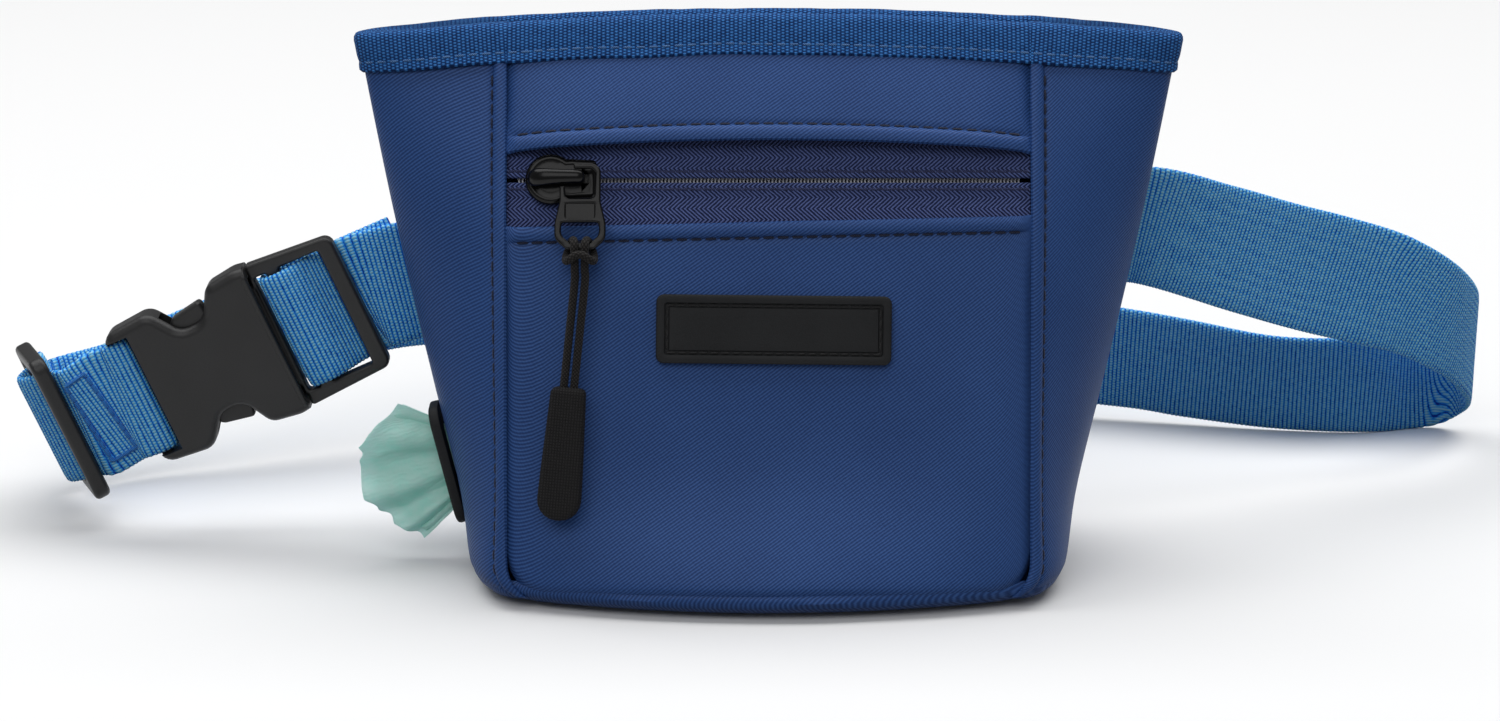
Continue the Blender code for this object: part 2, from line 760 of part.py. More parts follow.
def build_front(hinge):
    columns = panel_columns()
    pocket = wall_mesh("front_pocket", front_point, columns, panel_foot, pocket_head, 8, 0.0, FABRIC)
    add("front_pocket", pocket, NAVY, hinge)
    plain = spread(-PANEL_HALF + GAP, PANEL_HALF - GAP, 13)
    yoke = wall_mesh("front_yoke", front_point, plain, yoke_foot, panel_head, 5, 0.0, FABRIC)
    add("front_yoke", yoke, NAVY, hinge)
    inner = spread(-CORNER_X + GAP, CORNER_X - GAP, 7)
    lining = wall_mesh("front_lining", front_point, inner, lambda x: WALL_FOOT + GAP, lining_head, 9,
                       FABRIC + POCKET_SPACE, LINING)
    add("front_lining", lining, LINER, hinge)
    add("front_binding", front_binding_mesh("front_binding"), BINDING, hinge)
    for name, x in (("front_magnet_left", -MAGNET_X), ("front_magnet_right", MAGNET_X)):
        lift = -(FABRIC + POCKET_SPACE - MAGNET_THICK / 2 - GAP)
        frame = front_frame(x, RIM_HEIGHT - MAGNET_BELOW_RIM, lift)
        add(name, disc_mesh(name, MAGNET_D / 2, MAGNET_THICK), MAGNET, hinge, frame)
    for name, side in (("upper", 1), ("lower", -1)):
        band = sorted((side * TEETH_GAP / 2, side * (TEETH_GAP / 2 + TAPE_WIDTH)))
        tape = plate_mesh("zip_tape_" + name, [rounded(box_outline(-ZIP_HALF, ZIP_HALF, *band))], TAPE)
        add("zip_tape_" + name, tape, TAPE_CLOTH, hinge, front_frame(0, ZIP_HEIGHT, -tape_level()))
        teeth = teeth_mesh("zip_teeth_" + name, side, ZIP_HALF - TEETH_END_GAP)
        add("zip_teeth_" + name, teeth, TEETH, hinge, front_frame(0, ZIP_HEIGHT, -teeth_level()))
    build_label(hinge)


def tape_level():
    return FABRIC + RUN_GAP + TAPE / 2


def teeth_level():
    return tape_level() + TAPE / 2 + GAP + TEETH_DEPTH / 2


def build_label(hinge):
    half = (LABEL_WIDTH / 2, LABEL_TALL / 2)
    outline = rounded(box_outline(-half[0], half[0], -half[1], half[1], LABEL_BORDER))
    mesh = plate_mesh("label_patch", [outline], LABEL_THICK, 0.35 * MM)
    frame = front_frame(LABEL_X, LABEL_HEIGHT, LABEL_THICK / 2 + GAP, LABEL_TURN)
    patch = add("label_patch", mesh, RUBBER, hinge, frame)
    inner = (half[0] - LABEL_BORDER, half[1] - LABEL_BORDER)
    sunk = rounded(box_outline(-inner[0], inner[0], -inner[1], inner[1], LABEL_BORDER / 2))
    recess = plate_mesh("label_recess", [sunk], LABEL_THICK)
    floor = frame @ Matrix.Translation((0, 0, LABEL_THICK - LABEL_RECESS))
    combine(patch, tool("label_recess", recess, floor), "DIFFERENCE")


# Zip slider, puller and pull tag

def slider_outline():
    nose = SLIDER_LENGTH / 2
    wide = SLIDER_NOSE / 2
    slim = SLIDER_TAIL / 2
    lower = [(-nose, -wide, 3.4 * MM), (0, -wide, 2 * MM), (nose, -slim, 1 * MM)]
    return rounded(lower + [(x, -y, radius) for x, y, radius in reversed(lower)])


def slider_top():
    """Height of the slider's upper face above the panel."""
    return -(tape_level() - TAPE / 2 - GAP) + SLIDER_TOP


def crown_level():
    return slider_top() + CROWN_RISE


def build_slider(hinge):
    pivot = empty("slider_axis", front_frame(SLIDER_X, ZIP_HEIGHT, 0).translation, hinge)
    top = slider_top()
    frame = front_frame(SLIDER_X, ZIP_HEIGHT, top - SLIDER_TOP / 2)
    plate = plate_mesh("zip_slider", [slider_outline()], SLIDER_TOP, 0.4 * MM)
    slider = add("zip_slider", plate, SLIDER_METAL, pivot, frame)
    under_face = teeth_level() + TEETH_DEPTH / 2 + GAP
    under = plate_mesh("slider_under", [slider_outline()], SLIDER_UNDER, 0.2 * MM)
    under_frame = front_frame(SLIDER_X, ZIP_HEIGHT, -under_face - SLIDER_UNDER / 2)
    combine(slider, tool("slider_under", under, under_frame), "UNION")
    start = -SLIDER_LENGTH / 2 + SLIDER_LIP
    post_half = TEETH_GAP / 2 - GAP
    post = box_mesh("slider_post", (start, -post_half, -under_face - SLIDER_UNDER / 2),
                    (start + SLIDER_POST, post_half, top - SLIDER_TOP / 2))
    combine(slider, tool("slider_post", post, front_frame(SLIDER_X, ZIP_HEIGHT, 0)), "UNION")
    crown = crown_mesh("slider_crown")
    combine(slider, tool("slider_crown", crown, front_frame(SLIDER_X, ZIP_HEIGHT, 0)), "UNION")
    return pivot


def crown_mesh(name):
    """Arch along the zip that the puller hangs from."""
    level = crown_level()
    reach = SLIDER_LENGTH / 2 - CROWN_INSET
    foot = slider_top() - SLIDER_TOP / 3
    half = [(reach - CROWN_TURN, level), (reach, level - CROWN_TURN), (reach, foot)]
    path = [(-x, height) for x, height in reversed(half)] + half
    sections = []
    for i, (x, height) in enumerate(path):
        before = path[max(i - 1, 0)]
        after = path[min(i + 1, len(path) - 1)]
        along = Vector((after[0] - before[0], 0, after[1] - before[1])).normalized()
        side = Vector((0, 1, 0))
        out = along.cross(side)
        ring = spread(0, 2 * pi, 11)[:-1]
        sections.append([Vector((x, 0, height)) + CROWN_BAR_R * (side * cos(a) + out * sin(a)) for a in ring])
    return loft_mesh(name, sections)


def puller_frame():
    return front_frame(PULLER_X, ZIP_HEIGHT, crown_level())


def build_puller(slider_pivot):
    frame = puller_frame()
    pivot = empty("puller_axis", frame.translation, slider_pivot)
    head = -BARREL_R + 0.2 * MM
    foot = -PULLER_LENGTH
    slim = PULLER_TOP / 2
    wide = PULLER_FOOT / 2
    right = [(wide, foot, PULLER_ROUND), (wide, foot + PULLER_SHOULDER, PULLER_ROUND),
             (slim, head - PULLER_SHOULDER, PULLER_ROUND), (slim, head, 0)]
    outline = rounded([(-x, y, radius) for x, y, radius in reversed(right)] + right)
    eye_half = wide - EYE_SIDE
    eye = rounded(box_outline(-eye_half, eye_half, eye_foot(), eye_foot() + EYE_TALL, 1.1 * MM))
    plate = plate_mesh("zip_puller", [outline, eye], PULLER_THICK, 0.3 * MM)
    puller = add("zip_puller", plate, SLIDER_METAL, pivot, frame)
    crown_end = SLIDER_LENGTH / 2 - CROWN_INSET - CROWN_BAR_R - RUN_GAP - PULLER_OFFSET
    barrel_start = PULLER_ROUND - slim
    barrel = disc_mesh("puller_barrel", BARREL_R, crown_end - barrel_start, CROWN_BAR_R + GAP, 20)
    middle = Matrix.Translation(((crown_end + barrel_start) / 2, 0, 0))
    barrel_frame = frame @ middle @ Matrix.Rotation(pi / 2, 4, "Y")
    combine(puller, tool("puller_barrel", barrel, barrel_frame), "UNION")
    return pivot


def eye_foot():
    """Lower edge of the puller's eye, below the crown."""
    return -PULLER_LENGTH + EYE_BAR


def tag_frame():
    return front_frame(TAG_X, TAG_HEIGHT, TAG_THICK / 2 + RUN_GAP, -TAG_TILT)


def build_tag(puller_pivot):
    bar = puller_frame() @ Vector((0, -PULLER_LENGTH + EYE_BAR / 2, 0))
    pivot = empty("tag_axis", bar, puller_pivot)
    top = TAG_LENGTH / 2
    right = [(TAG_FOOT / 2, -top, TAG_ROUND), (TAG_TOP / 2, top, TAG_SHOULDER)]
    outline = rounded([(-x, y, radius) for x, y, radius in reversed(right)] + right)
    add("grip_tag", plate_mesh("grip_tag", [outline], TAG_THICK, TAG_EDGE, 2), RUBBER, pivot, tag_frame())
    add("pull_cord", cord_mesh("pull_cord", bar), CORD, pivot)


def cord_mesh(name, bar):
    """Loop of cord round the puller's lower bar, with both ends in the tag."""
    basis = puller_frame().to_3x3()
    turn = PULLER_THICK / 2 + CORD_D / 2 + RUN_GAP
    over = EYE_BAR / 2 + CORD_D / 2 + RUN_GAP
    spacing = CORD_D / 2 + GAP
    drop = 3 * MM
    half = [(0, over * 0.8, turn * 0.6), (spacing / 2, 0, turn), (spacing, -drop, turn * 0.9),
            (spacing, -2.3 * drop, 0.2 * MM)]
    loop = [(-x, y, -out) for x, y, out in reversed(half)] + [(0, over, 0)] + half
    upper = [bar + basis @ Vector(place) for place in loop]
    head = tag_frame() @ Vector((0, TAG_LENGTH / 2 + GAP, 0))
    across = tag_frame().to_3x3() @ Vector((spacing, 0, 0))
    left = head - across
    right = head + across
    belly = basis @ Vector((0, 0, 0.2 * MM))
    left_mid = (left + upper[0]) / 2 + belly
    right_mid = (right + upper[-1]) / 2 + belly
    path = smooth_path([left, left_mid] + upper + [right_mid, right], 3)
    ring = spread(0, 2 * pi, 8)[:-1]
    sections = []
    for i, centre in enumerate(path):
        along = (path[min(i + 1, len(path) - 1)] - path[max(i - 1, 0)]).normalized()
        side = basis @ Vector((1, 0, 0))
        side = (side - along * side.dot(along)).normalized()
        out = along.cross(side)
        sections.append([centre + CORD_D / 2 * (side * cos(a) + out * sin(a)) for a in ring])
    return loft_mesh(name, sections)


# Buckle

def belt_back():
    """Where the back wall lies behind the belt sleeve."""
    return back_y(SLEEVE_HEIGHT)


def buckle_frame():
    along = Vector((cos(BUCKLE_TILT), 0, sin(BUCKLE_TILT)))
    out = Vector((0, -1, 0))
    basis = Matrix((along, BUCKLE_UP, out)).transposed().to_4x4()
    place = Vector((-PANEL_HALF - BUCKLE_OUT, belt_back() + BUCKLE_BEHIND, BUCKLE_HEIGHT))
    return Matrix.Translation(place) @ basis


BUCKLE_UP = Vector((-sin(BUCKLE_TILT), 0, cos(BUCKLE_TILT)))


def mirrored(upper):
    """Outline from its upper half, which runs along the buckle."""
    return rounded(upper + [(u, -v, radius) for u, v, radius in reversed(upper)])


def female_outline():
    mouth = WEB_HALF + MOUTH_SIDE
    waist = WEB_HALF + WAIST_SIDE
    lobe = WEB_HALF + LOBE_SIDE
    return mirrored([(BUCKLE_MOUTH, mouth - 1.2 * MM, 1 * MM), (BUCKLE_MOUTH - 3 * MM, mouth, 2 * MM),
                     (BUCKLE_MOUTH - MOUTH_BAND, mouth - 0.6 * MM, 1.4 * MM),
                     (BUCKLE_MOUTH - WAIST_START, waist, 4 * MM), (BUCKLE_MOUTH - WAIST_END, waist, 4 * MM),
                     (LOBE_START, lobe, 3 * MM), (0, lobe - 1 * MM, 3 * MM)])


def prong_v():
    return WEB_HALF - PRONG_INSET


def build_female():
    frame = buckle_frame()
    pivot = empty("release_axis", frame.translation)
    slot = rounded(box_outline(END_BAR, END_BAR + END_SLOT, -WEB_SLOT, WEB_SLOT, 0.8 * MM))
    female = plate_mesh("buckle_female", [female_outline(), slot], FEMALE_THICK, 0.9 * MM)
    housing = add("buckle_female", female, PLASTIC, pivot, frame)
    half = prong_v() + PRONG_BARB + RUN_GAP / 2
    depth = END_BAR + END_SLOT + END_WALL
    past_mouth = BUCKLE_MOUTH + FEMALE_THICK
    hollow = mirrored([(past_mouth, half, 0), (depth + 3 * MM, half, 1 * MM), (depth, half / 2, 1 * MM)])
    cavity = plate_mesh("female_cavity", [hollow], CAVITY_THICK)
    combine(housing, tool("female_cavity", cavity, frame), "DIFFERENCE")
    for name, side in (("bar_relief_front", 1), ("bar_relief_back", -1)):
        low, high = sorted((side * END_BAR / 2, side * FEMALE_THICK))
        relief = box_mesh(name, (-BAR, -WEB_SLOT, low), (END_BAR + END_SLOT / 2, WEB_SLOT, high))
        combine(housing, tool(name, relief, frame), "DIFFERENCE")
    add("belt_end", belt_end_mesh("belt_end"), WEBBING, pivot)
    add("tri_glide", tri_glide_mesh("tri_glide"), PLASTIC, pivot, tri_frame())


def ladder_slots():
    """Both slots of the male's ladder, along the buckle."""
    first = BUCKLE_MOUTH + GAP + LADDER_LIP
    bar = first + LADDER_SLOT
    return ((first, bar), (bar + BAR, BUCKLE_LENGTH - BAR))


def build_male():
    frame = buckle_frame()
    half = WEB_HALF + MALE_SIDE
    neck = BUCKLE_MOUTH + GAP
    root = neck - NECK_REACH
    guide = GUIDE_WIDTH / 2
    tip = root - GAP - PRONG_LENGTH
    corner = 0.6 * MM
    outline = mirrored([(BUCKLE_LENGTH, half, 2 * MM), (neck, half, corner), (neck, half - NECK_STEP, corner),
                        (root, half - NECK_STEP, corner), (root, guide, corner),
                        (tip, guide - 1 * MM, 1 * MM)])
    slots = [rounded(box_outline(low, high, -WEB_SLOT, WEB_SLOT, corner)) for low, high in ladder_slots()]
    plate = plate_mesh("buckle_male", [outline] + slots, MALE_THICK, 0.4 * MM)
    add("buckle_male", plate, PLASTIC, frame=frame)
    for name, side in (("prong_upper", 1), ("prong_lower", -1)):
        build_prong(name, side, root - GAP)


def build_prong(name, side, root):
    """Springy arm with a barb that the finger squeezes in."""
    middle = prong_v()
    barb = middle + PRONG_BARB
    tip = root - PRONG_LENGTH
    catch = root - PRONG_LENGTH / 2
    pivot = empty(name + "_axis", buckle_frame() @ Vector((root - 1.2 * MM, side * middle, 0)))
    arm = [(root, middle - 1.8 * MM, 0.3 * MM), (root, middle + 2 * MM, 0.3 * MM),
           (root - 5 * MM, middle + 1.6 * MM, 3 * MM), (catch + 0.5 * MM, middle + 2.2 * MM, 1 * MM),
           (catch, barb, 0.8 * MM), (tip + 2 * MM, barb - 1.2 * MM, 2.2 * MM),
           (tip - 1 * MM, middle, 1.2 * MM), (tip + 3 * MM, middle - 1.2 * MM, 1 * MM),
           (catch + 1 * MM, middle - 0.2 * MM, 3 * MM)]
    outline = rounded([(u, side * v, radius) for u, v, radius in arm])
    add(name, plate_mesh(name, [outline], PRONG_THICK, 0.3 * MM), PLASTIC, pivot, buckle_frame())


# Belt webbing

def tri_frame():
    up = (BUCKLE_UP - TRI_ALONG * BUCKLE_UP.dot(TRI_ALONG)).normalized()
    out = TRI_ALONG.cross(up)
    basis = Matrix((TRI_ALONG, up, out)).transposed().to_4x4()
    return Matrix.Translation(buckle_frame().translation + TRI_FROM_BUCKLE) @ basis


def tri_glide_mesh(name):
    half = (TRI_LENGTH / 2, WEB_HALF + TRI_SIDE)
    loops = [rounded(box_outline(-half[0], half[0], -half[1], half[1], 3 * MM))]
    for low, high in ((-half[0] + BAR, -BAR / 2), (BAR / 2, half[0] - BAR)):
        loops.append(rounded(box_outline(low, high, -WEB_SLOT, WEB_SLOT, 0.7 * MM)))
    return plate_mesh(name, loops, TRI_THICK, 0.5 * MM)


def in_buckle(u, n):
    return (buckle_frame() @ Vector((u, 0, n)), BUCKLE_UP)


def in_tri(along, out):
    frame = tri_frame()
    return (frame @ Vector((along, 0, out)), frame.to_3x3() @ Vector((0, 1, 0)))


def belt_end_mesh(name):
    """Strap end: sewn back on itself round the female's bar, then woven through the tri-glide."""
    bar = END_BAR / 2
    loop = bar + GAP + WEB_THICK / 2
    layer = WEB_THICK / 2 + 0.2 * MM
    sewn = 7 * MM
    front = [(bar + loop, loop * 0.72), (bar, loop * 1.04), (-bar, loop * 0.82), (-2 * END_BAR, layer * 1.05),
             (-sewn, layer)]
    turns = [(u, -n) for u, n in reversed(front)] + [(bar + loop * 1.2, 0)] + front
    outer_bar = TRI_LENGTH / 2 - BAR / 2
    slot = outer_bar / 2
    lift = TRI_THICK / 2 + RUN_GAP + WEB_THICK / 2
    steep = 1.1 * MM
    lead = 2.2 * MM
    tail = 1.6 * MM
    weave = [(-outer_bar - lead, lift * 1.75), (-outer_bar, lift * 1.08), (-slot - steep, lift * 0.55),
             (-slot + steep, -lift * 0.55), (0, -lift), (slot - steep, -lift * 0.55),
             (slot + steep, lift * 0.55), (outer_bar, lift), (outer_bar + tail, lift)]
    stations = [in_buckle(u, n) for u, n in turns] + [in_tri(along, out) for along, out in weave]
    return ribbon_mesh(name, stations, WEB_WIDTH, WEB_THICK, 3)


def ladder_path():
    """Belt through the male's ladder as (u, n): a tail behind, round the first bar and out below the last."""
    first, second = ladder_slots()
    wrap = (first[0] + first[1]) / 2
    cross = second[1] - LADDER_SLOT
    lift = MALE_THICK / 2 + RUN_GAP + WEB_THICK / 2
    tail = lift + WEB_THICK + 2 * GAP
    steep = 1.3 * MM
    behind = [(BUCKLE_LENGTH + 12 * MM, -tail), (cross, -tail), (first[1] + 0.6 * MM, -tail * 0.96)]
    turn = [(wrap + 0.2 * MM, -lift * 1.1), (wrap, 0), (wrap + 0.5 * MM, lift * 0.85)]
    over = [(first[1] + BAR / 2, lift * 1.1), (cross - steep, lift * 0.62), (cross + steep, -lift * 0.62)]
    return behind + turn + over + [(BUCKLE_LENGTH - BAR / 2, -lift), (BUCKLE_LENGTH + 4 * MM, -lift)]


def belt_mesh(name):
    """Waist belt: from the ladder of the male buckle, behind the pouch, round the right fold and back."""
    lean = Vector((0, slope(back_y, SLEEVE_HEIGHT), 1))
    seat = GAP + WEB_THICK / 2 + RUN_GAP

    def on_back(x):
        return (back_point(x, SLEEVE_HEIGHT + BELT_SLANT * x, -seat), lean)

    def beside(side, out, behind, z, *across):
        place = Vector((side * (PANEL_HALF + out * MM), belt_back() + behind * MM, z * MM))
        return (place, Vector(across))

    stations = [in_buckle(u, n) for u, n in ladder_path()]
    stations.append(beside(-1, 12.5, 2.4, 54.6, -0.22, -0.1, 0.97))
    stations += [on_back(x) for x in (-SLEEVE_HALF, 0, SLEEVE_HALF)]
    stations += [beside(1, 8.5, 2.4, 63.2, 0.1, -0.1, 1), beside(1, 25.5, 6.8, 63.2, 0.23, 0, 0.97),
                 beside(1, 51.1, 23.2, 52, 0.33, 0, 0.94), beside(1, 77.5, 40.2, 39.6, 0.4, 0, 0.9),
                 beside(1, 94.5, 55.2, 28.5, 0.21, 0, 0.98), beside(1, 102.5, 65.2, 20.5, 0, 0, 1),
                 beside(1, 101, 73.2, 15.6, 0, 0.08, 1), beside(1, 93.5, 75.7, 13.6, 0, 0.14, 0.99),
                 beside(1, 73.5, 75.7, 13, 0, 0.14, 0.99), beside(1, 24.5, 81.2, 14, 0, 0.05, 1),
                 beside(1, -31.5, 85.2, 20, 0, 0, 1), beside(-1, -11.5, 75.2, 28.5, 0, 0, 1),
                 beside(-1, 29.5, 60, 34, -0.1, 0, 1), beside(-1, 70.5, 42, 24.5, -0.22, 0, 0.97),
                 beside(-1, 89, 34, 20, -0.28, 0, 0.96)]
    stations.append(in_tri(TRI_LENGTH / 2 - BAR / 2 + 8 * MM, 3 * MM))
    return ribbon_mesh(name, stations, WEB_WIDTH, WEB_THICK, 3)


def sleeve_mesh(name):
    """Band of cloth sewn to the back along its top and bottom, with the belt running through."""
    room = GAP + WEB_THICK + 2 * RUN_GAP + GAP
    half = WEB_HALF + SLEEVE_SLACK
    upper = [(half - SLEEVE_FOLD, room), (half, GAP), (half + SLEEVE_FLANGE, GAP)]
    levels = [(-z, lift) for z, lift in reversed(upper)] + [(0, room)] + upper
    grids = ([], [])
    for x in spread(-SLEEVE_HALF, SLEEVE_HALF, 5):
        for grid, extra in zip(grids, (FABRIC, 0.0)):
            grid.append([back_point(x, SLEEVE_HEIGHT + z, -lift - extra) for z, lift in levels])
    return slab_mesh(name, grids[0], grids[1])


def build_belt():
    add("belt_sleeve", sleeve_mesh("belt_sleeve"), NAVY)
    add("belt_webbing", belt_mesh("belt_webbing"), WEBBING)
    build_male()
    build_female()


def build():
    build_shell()
    build_dispenser()
    hinge = empty("mouth_axis", Vector((0, -HALF_DEPTH, WALL_FOOT)))
    build_front(hinge)
    slider_pivot = build_slider(hinge)
    puller_pivot = build_puller(slider_pivot)
    build_tag(puller_pivot)
    build_belt()


build()
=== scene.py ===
"""Looks of the treat pouch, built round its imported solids.

Front faces -Y, +X is to the right and the base stands on Z = 0. Points are in metres, and sizes that are written
in mm say so. The cloth follows the same curves as the solids, with seams, folds, stitches and weave added.
"""
from itertools import product
from math import atan, cos, exp, pi, radians, sin, sqrt, tan

import bmesh
import bpy
import numpy as np
from mathutils import Matrix, Vector, noise


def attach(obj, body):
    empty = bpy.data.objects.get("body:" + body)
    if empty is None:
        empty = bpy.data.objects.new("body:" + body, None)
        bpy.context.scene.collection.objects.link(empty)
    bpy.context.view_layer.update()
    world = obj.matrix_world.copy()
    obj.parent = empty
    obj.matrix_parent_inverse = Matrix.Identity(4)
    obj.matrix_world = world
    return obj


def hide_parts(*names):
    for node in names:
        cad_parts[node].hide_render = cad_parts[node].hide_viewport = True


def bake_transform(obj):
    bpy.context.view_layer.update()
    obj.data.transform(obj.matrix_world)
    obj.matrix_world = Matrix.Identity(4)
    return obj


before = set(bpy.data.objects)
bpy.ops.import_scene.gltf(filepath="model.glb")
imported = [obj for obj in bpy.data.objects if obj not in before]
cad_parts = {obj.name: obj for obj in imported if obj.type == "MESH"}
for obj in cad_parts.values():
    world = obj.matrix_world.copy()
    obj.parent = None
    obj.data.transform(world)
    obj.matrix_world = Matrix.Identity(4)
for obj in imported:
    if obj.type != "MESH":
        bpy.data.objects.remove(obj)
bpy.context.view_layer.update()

MM = 0.001

# Clearances
GAP = 0.3 * MM
TUCK = 1.2 * MM
RUN_GAP = 0.5 * MM

# Camera of the photograph
CAMERA_PLACE = (-0.00365, -0.815, 0.28419)
CAMERA_TILT = radians(73.5)
CAMERA_LENS = 102.1

# Pouch body
RIM_HEIGHT = 112 * MM
RIM_DROP = 4 * MM
HALF_DEPTH = 29 * MM
PANEL_HALF = 51.5 * MM
PANEL_CORNER = 8 * MM
CORNER_X = PANEL_HALF - PANEL_CORNER
RIM_HALF = 82 * MM
BASE_HALF = 55 * MM
MOUTH_Y = 10 * MM
LIP = 2.6 * MM
FABRIC = 1.0 * MM
LINING = 0.6 * MM
WALL_FOOT = 1.5 * MM
BINDING_HEIGHT = 7.5 * MM
BINDING_THICK = 0.7 * MM
FOLD_GAP = 0.6 * MM
POCKET_SPACE = 3.8 * MM
LIP_SPACE = 1.6 * MM

# Pitch of the webbing's ribs, and of the beads along a rib, in mm
RIB = 0.92
BEAD = 0.64

# Zipped pocket
ZIP_HEIGHT = 81.8 * MM
ZIP_UP = 7.0 * MM
ZIP_DOWN = 7.9 * MM
YOKE_SAG = 2.0 * MM
FOLD_SLANT = 0.021
POCKET_TOP = ZIP_HEIGHT - ZIP_DOWN
POCKET_TAUT = 0.7
FOOT_BOW = 8.5 * MM
FOOT_SPREAD = 2.8 * MM
YOKE_LEAN = 2.2 * MM


def srgb(red, green, blue):
    """Linear colour of a screen colour."""
    return tuple(((c / 255 + 0.055) / 1.055) ** 2.4 for c in (red, green, blue)) + (1.0,)


# Materials

class Signal:
    """A number in a material's nodes, so that a pattern can be written as a sum."""

    def __init__(self, finish, socket):
        self.finish = finish
        self.socket = socket

    def op(self, operation, *others):
        node = self.finish.node("Math")
        node.operation = operation
        for slot, value in zip(node.inputs, (self,) + others):
            self.finish.feed(slot, value)
        return Signal(self.finish, node.outputs[0])

    def __add__(self, other):
        return self.op("ADD", other)

    def __sub__(self, other):
        return self.op("SUBTRACT", other)

    def __mul__(self, other):
        return self.op("MULTIPLY", other)

    def __truediv__(self, other):
        return self.op("DIVIDE", other)

    def wave(self):
        """0 to 1 and back once for each unit."""
        return (self * (2 * pi)).op("SINE") * 0.5 + 0.5

    def ridge(self):
        """One round ridge for each unit, with a sharp valley between."""
        return (self * pi).op("SINE").op("ABSOLUTE")

    def odd(self):
        """0 or 1 in turn for each unit."""
        return self.op("FLOOR").op("FLOORED_MODULO", 2.0)


class Finish:
    """Procedural material, which keeps the name of one of the record's slots."""

    def __init__(self, name, slot, **sockets):
        self.slot = slot
        self.material = bpy.data.materials.new(name)
        self.material.use_nodes = True
        self.nodes = self.material.node_tree.nodes
        self.links = self.material.node_tree.links
        self.shader = self.nodes["Principled BSDF"]
        for key, value in sockets.items():
            self.shader.inputs[key.replace("_", " ")].default_value = value

    def node(self, kind):
        return self.nodes.new("ShaderNode" + kind)

    def feed(self, slot, value):
        if isinstance(value, Signal):
            self.links.new(value.socket, slot)
        else:
            slot.default_value = value

    def split(self, socket):
        node = self.node("SeparateXYZ")
        self.links.new(socket, node.inputs[0])
        return [Signal(self, out) for out in node.outputs]

    def weave(self):
        """Distances along and up the cloth."""
        node = self.node("UVMap")
        node.uv_map = "weave"
        return self.split(node.outputs[0])[:2]

    def place(self):
        return self.split(self.node("TexCoord").outputs["Object"])

    def plain_weave(self, wide, tall):
        """Columns of yarn that rise and dip in turn."""
        u, v = self.weave()
        column = u / wide
        return column.ridge() * (v / tall + column.odd() * 0.5).ridge()

    def noise(self, size, detail=2.0):
        node = self.node("TexNoise")
        node.inputs["Scale"].default_value = 1 / size
        node.inputs["Detail"].default_value = detail
        self.links.new(self.node("TexCoord").outputs["Object"], node.inputs["Vector"])
        return Signal(self, node.outputs[0])

    def ramp(self, signal, *stops):
        """Base colour from linear colours along a signal."""
        node = self.node("ValToRGB")
        elements = node.color_ramp.elements
        for element, (place, colour) in zip(list(elements), (stops[0], stops[-1])):
            element.position = place
            element.color = colour
        for place, colour in stops[1:-1]:
            elements.new(place).color = colour
        self.links.new(signal.socket, node.inputs[0])
        self.links.new(node.outputs[0], self.shader.inputs["Base Color"])

    def colour(self, signal, *stops):
        """Base colour from screen colours along a signal."""
        self.ramp(signal, *((place, srgb(*screen)) for place, *screen in stops))

    def rough(self, signal, low, high):
        self.feed(self.shader.inputs["Roughness"], signal * (high - low) + low)

    def bump(self, signal, depth):
        node = self.node("Bump")
        node.inputs["Distance"].default_value = depth
        self.feed(node.inputs["Height"], signal)
        self.links.new(node.outputs[0], self.shader.inputs["Normal"])

    def look(self, shade, stops, rough, relief, depth):
        """Colours and roughness along one shade, with a relief."""
        self.colour(shade, *stops)
        self.rough(shade, *rough)
        self.bump(relief, depth)
        return self


def twill_finish():
    """Coated twill: fine diagonal ribs that rise to the right."""
    made = Finish("twill", "navy_twill", Sheen_Weight=0.02, Sheen_Roughness=0.4, Specular_IOR_Level=0.22)
    u, v = made.weave()
    slant = radians(36)
    cloud = made.noise(24 * MM)
    fleck = made.noise(0.9 * MM)
    rib = ((v * cos(slant) - u * sin(slant)) / (0.58 * MM) + fleck * 0.3).wave()
    cross = ((u * cos(slant) + v * sin(slant)) / (0.8 * MM)).wave()
    thread = rib * 0.75 + cross * 0.12 + fleck * 0.2
    made.colour(thread * 0.8 + cloud * 0.25, (0.15, 28, 54, 104), (0.55, 42, 76, 136), (0.95, 64, 103, 169))
    made.rough(thread, 0.58, 0.44)
    made.bump(thread, 0.045 * MM)
    return made


def binding_finish():
    """Grosgrain tape: a plain weave of thick yarns in upright columns."""
    made = Finish("grosgrain", "binding_tape", Sheen_Weight=0.03, Sheen_Roughness=0.5, Specular_IOR_Level=0.18)
    dots = made.plain_weave(0.84 * MM, 0.62 * MM)
    fleck = made.noise(1.6 * MM)
    shade = dots * 0.8 + fleck * 0.4
    stops = ((0.1, 6, 29, 72), (0.45, 21, 72, 138), (0.9, 58, 128, 202))
    return made.look(shade, stops, (0.85, 0.6), dots, 0.2 * MM)


def webbing_finish():
    """Heavy webbing: ribs of beaded yarn across its width, with dark gaps between."""
    made = Finish("webbing", "webbing", Sheen_Weight=0.04, Sheen_Roughness=0.5, Specular_IOR_Level=0.3)
    u, v = made.weave()
    fleck = made.noise(0.9 * MM)
    rib = u / (RIB * MM) + (fleck - 0.5) * 0.16
    bead = (v / (BEAD * MM) + (u / (RIB * MM)).odd() * 0.5).ridge()
    knit = rib.ridge() * (bead * 0.62 + 0.38)
    shade = knit * 0.95 + (fleck - 0.5) * 0.5
    stops = ((0.04, 3, 56, 172), (0.18, 18, 132, 255), (0.42, 62, 182, 255), (0.8, 160, 224, 255))
    return made.look(shade, stops, (0.8, 0.45), knit, 0.17 * MM)


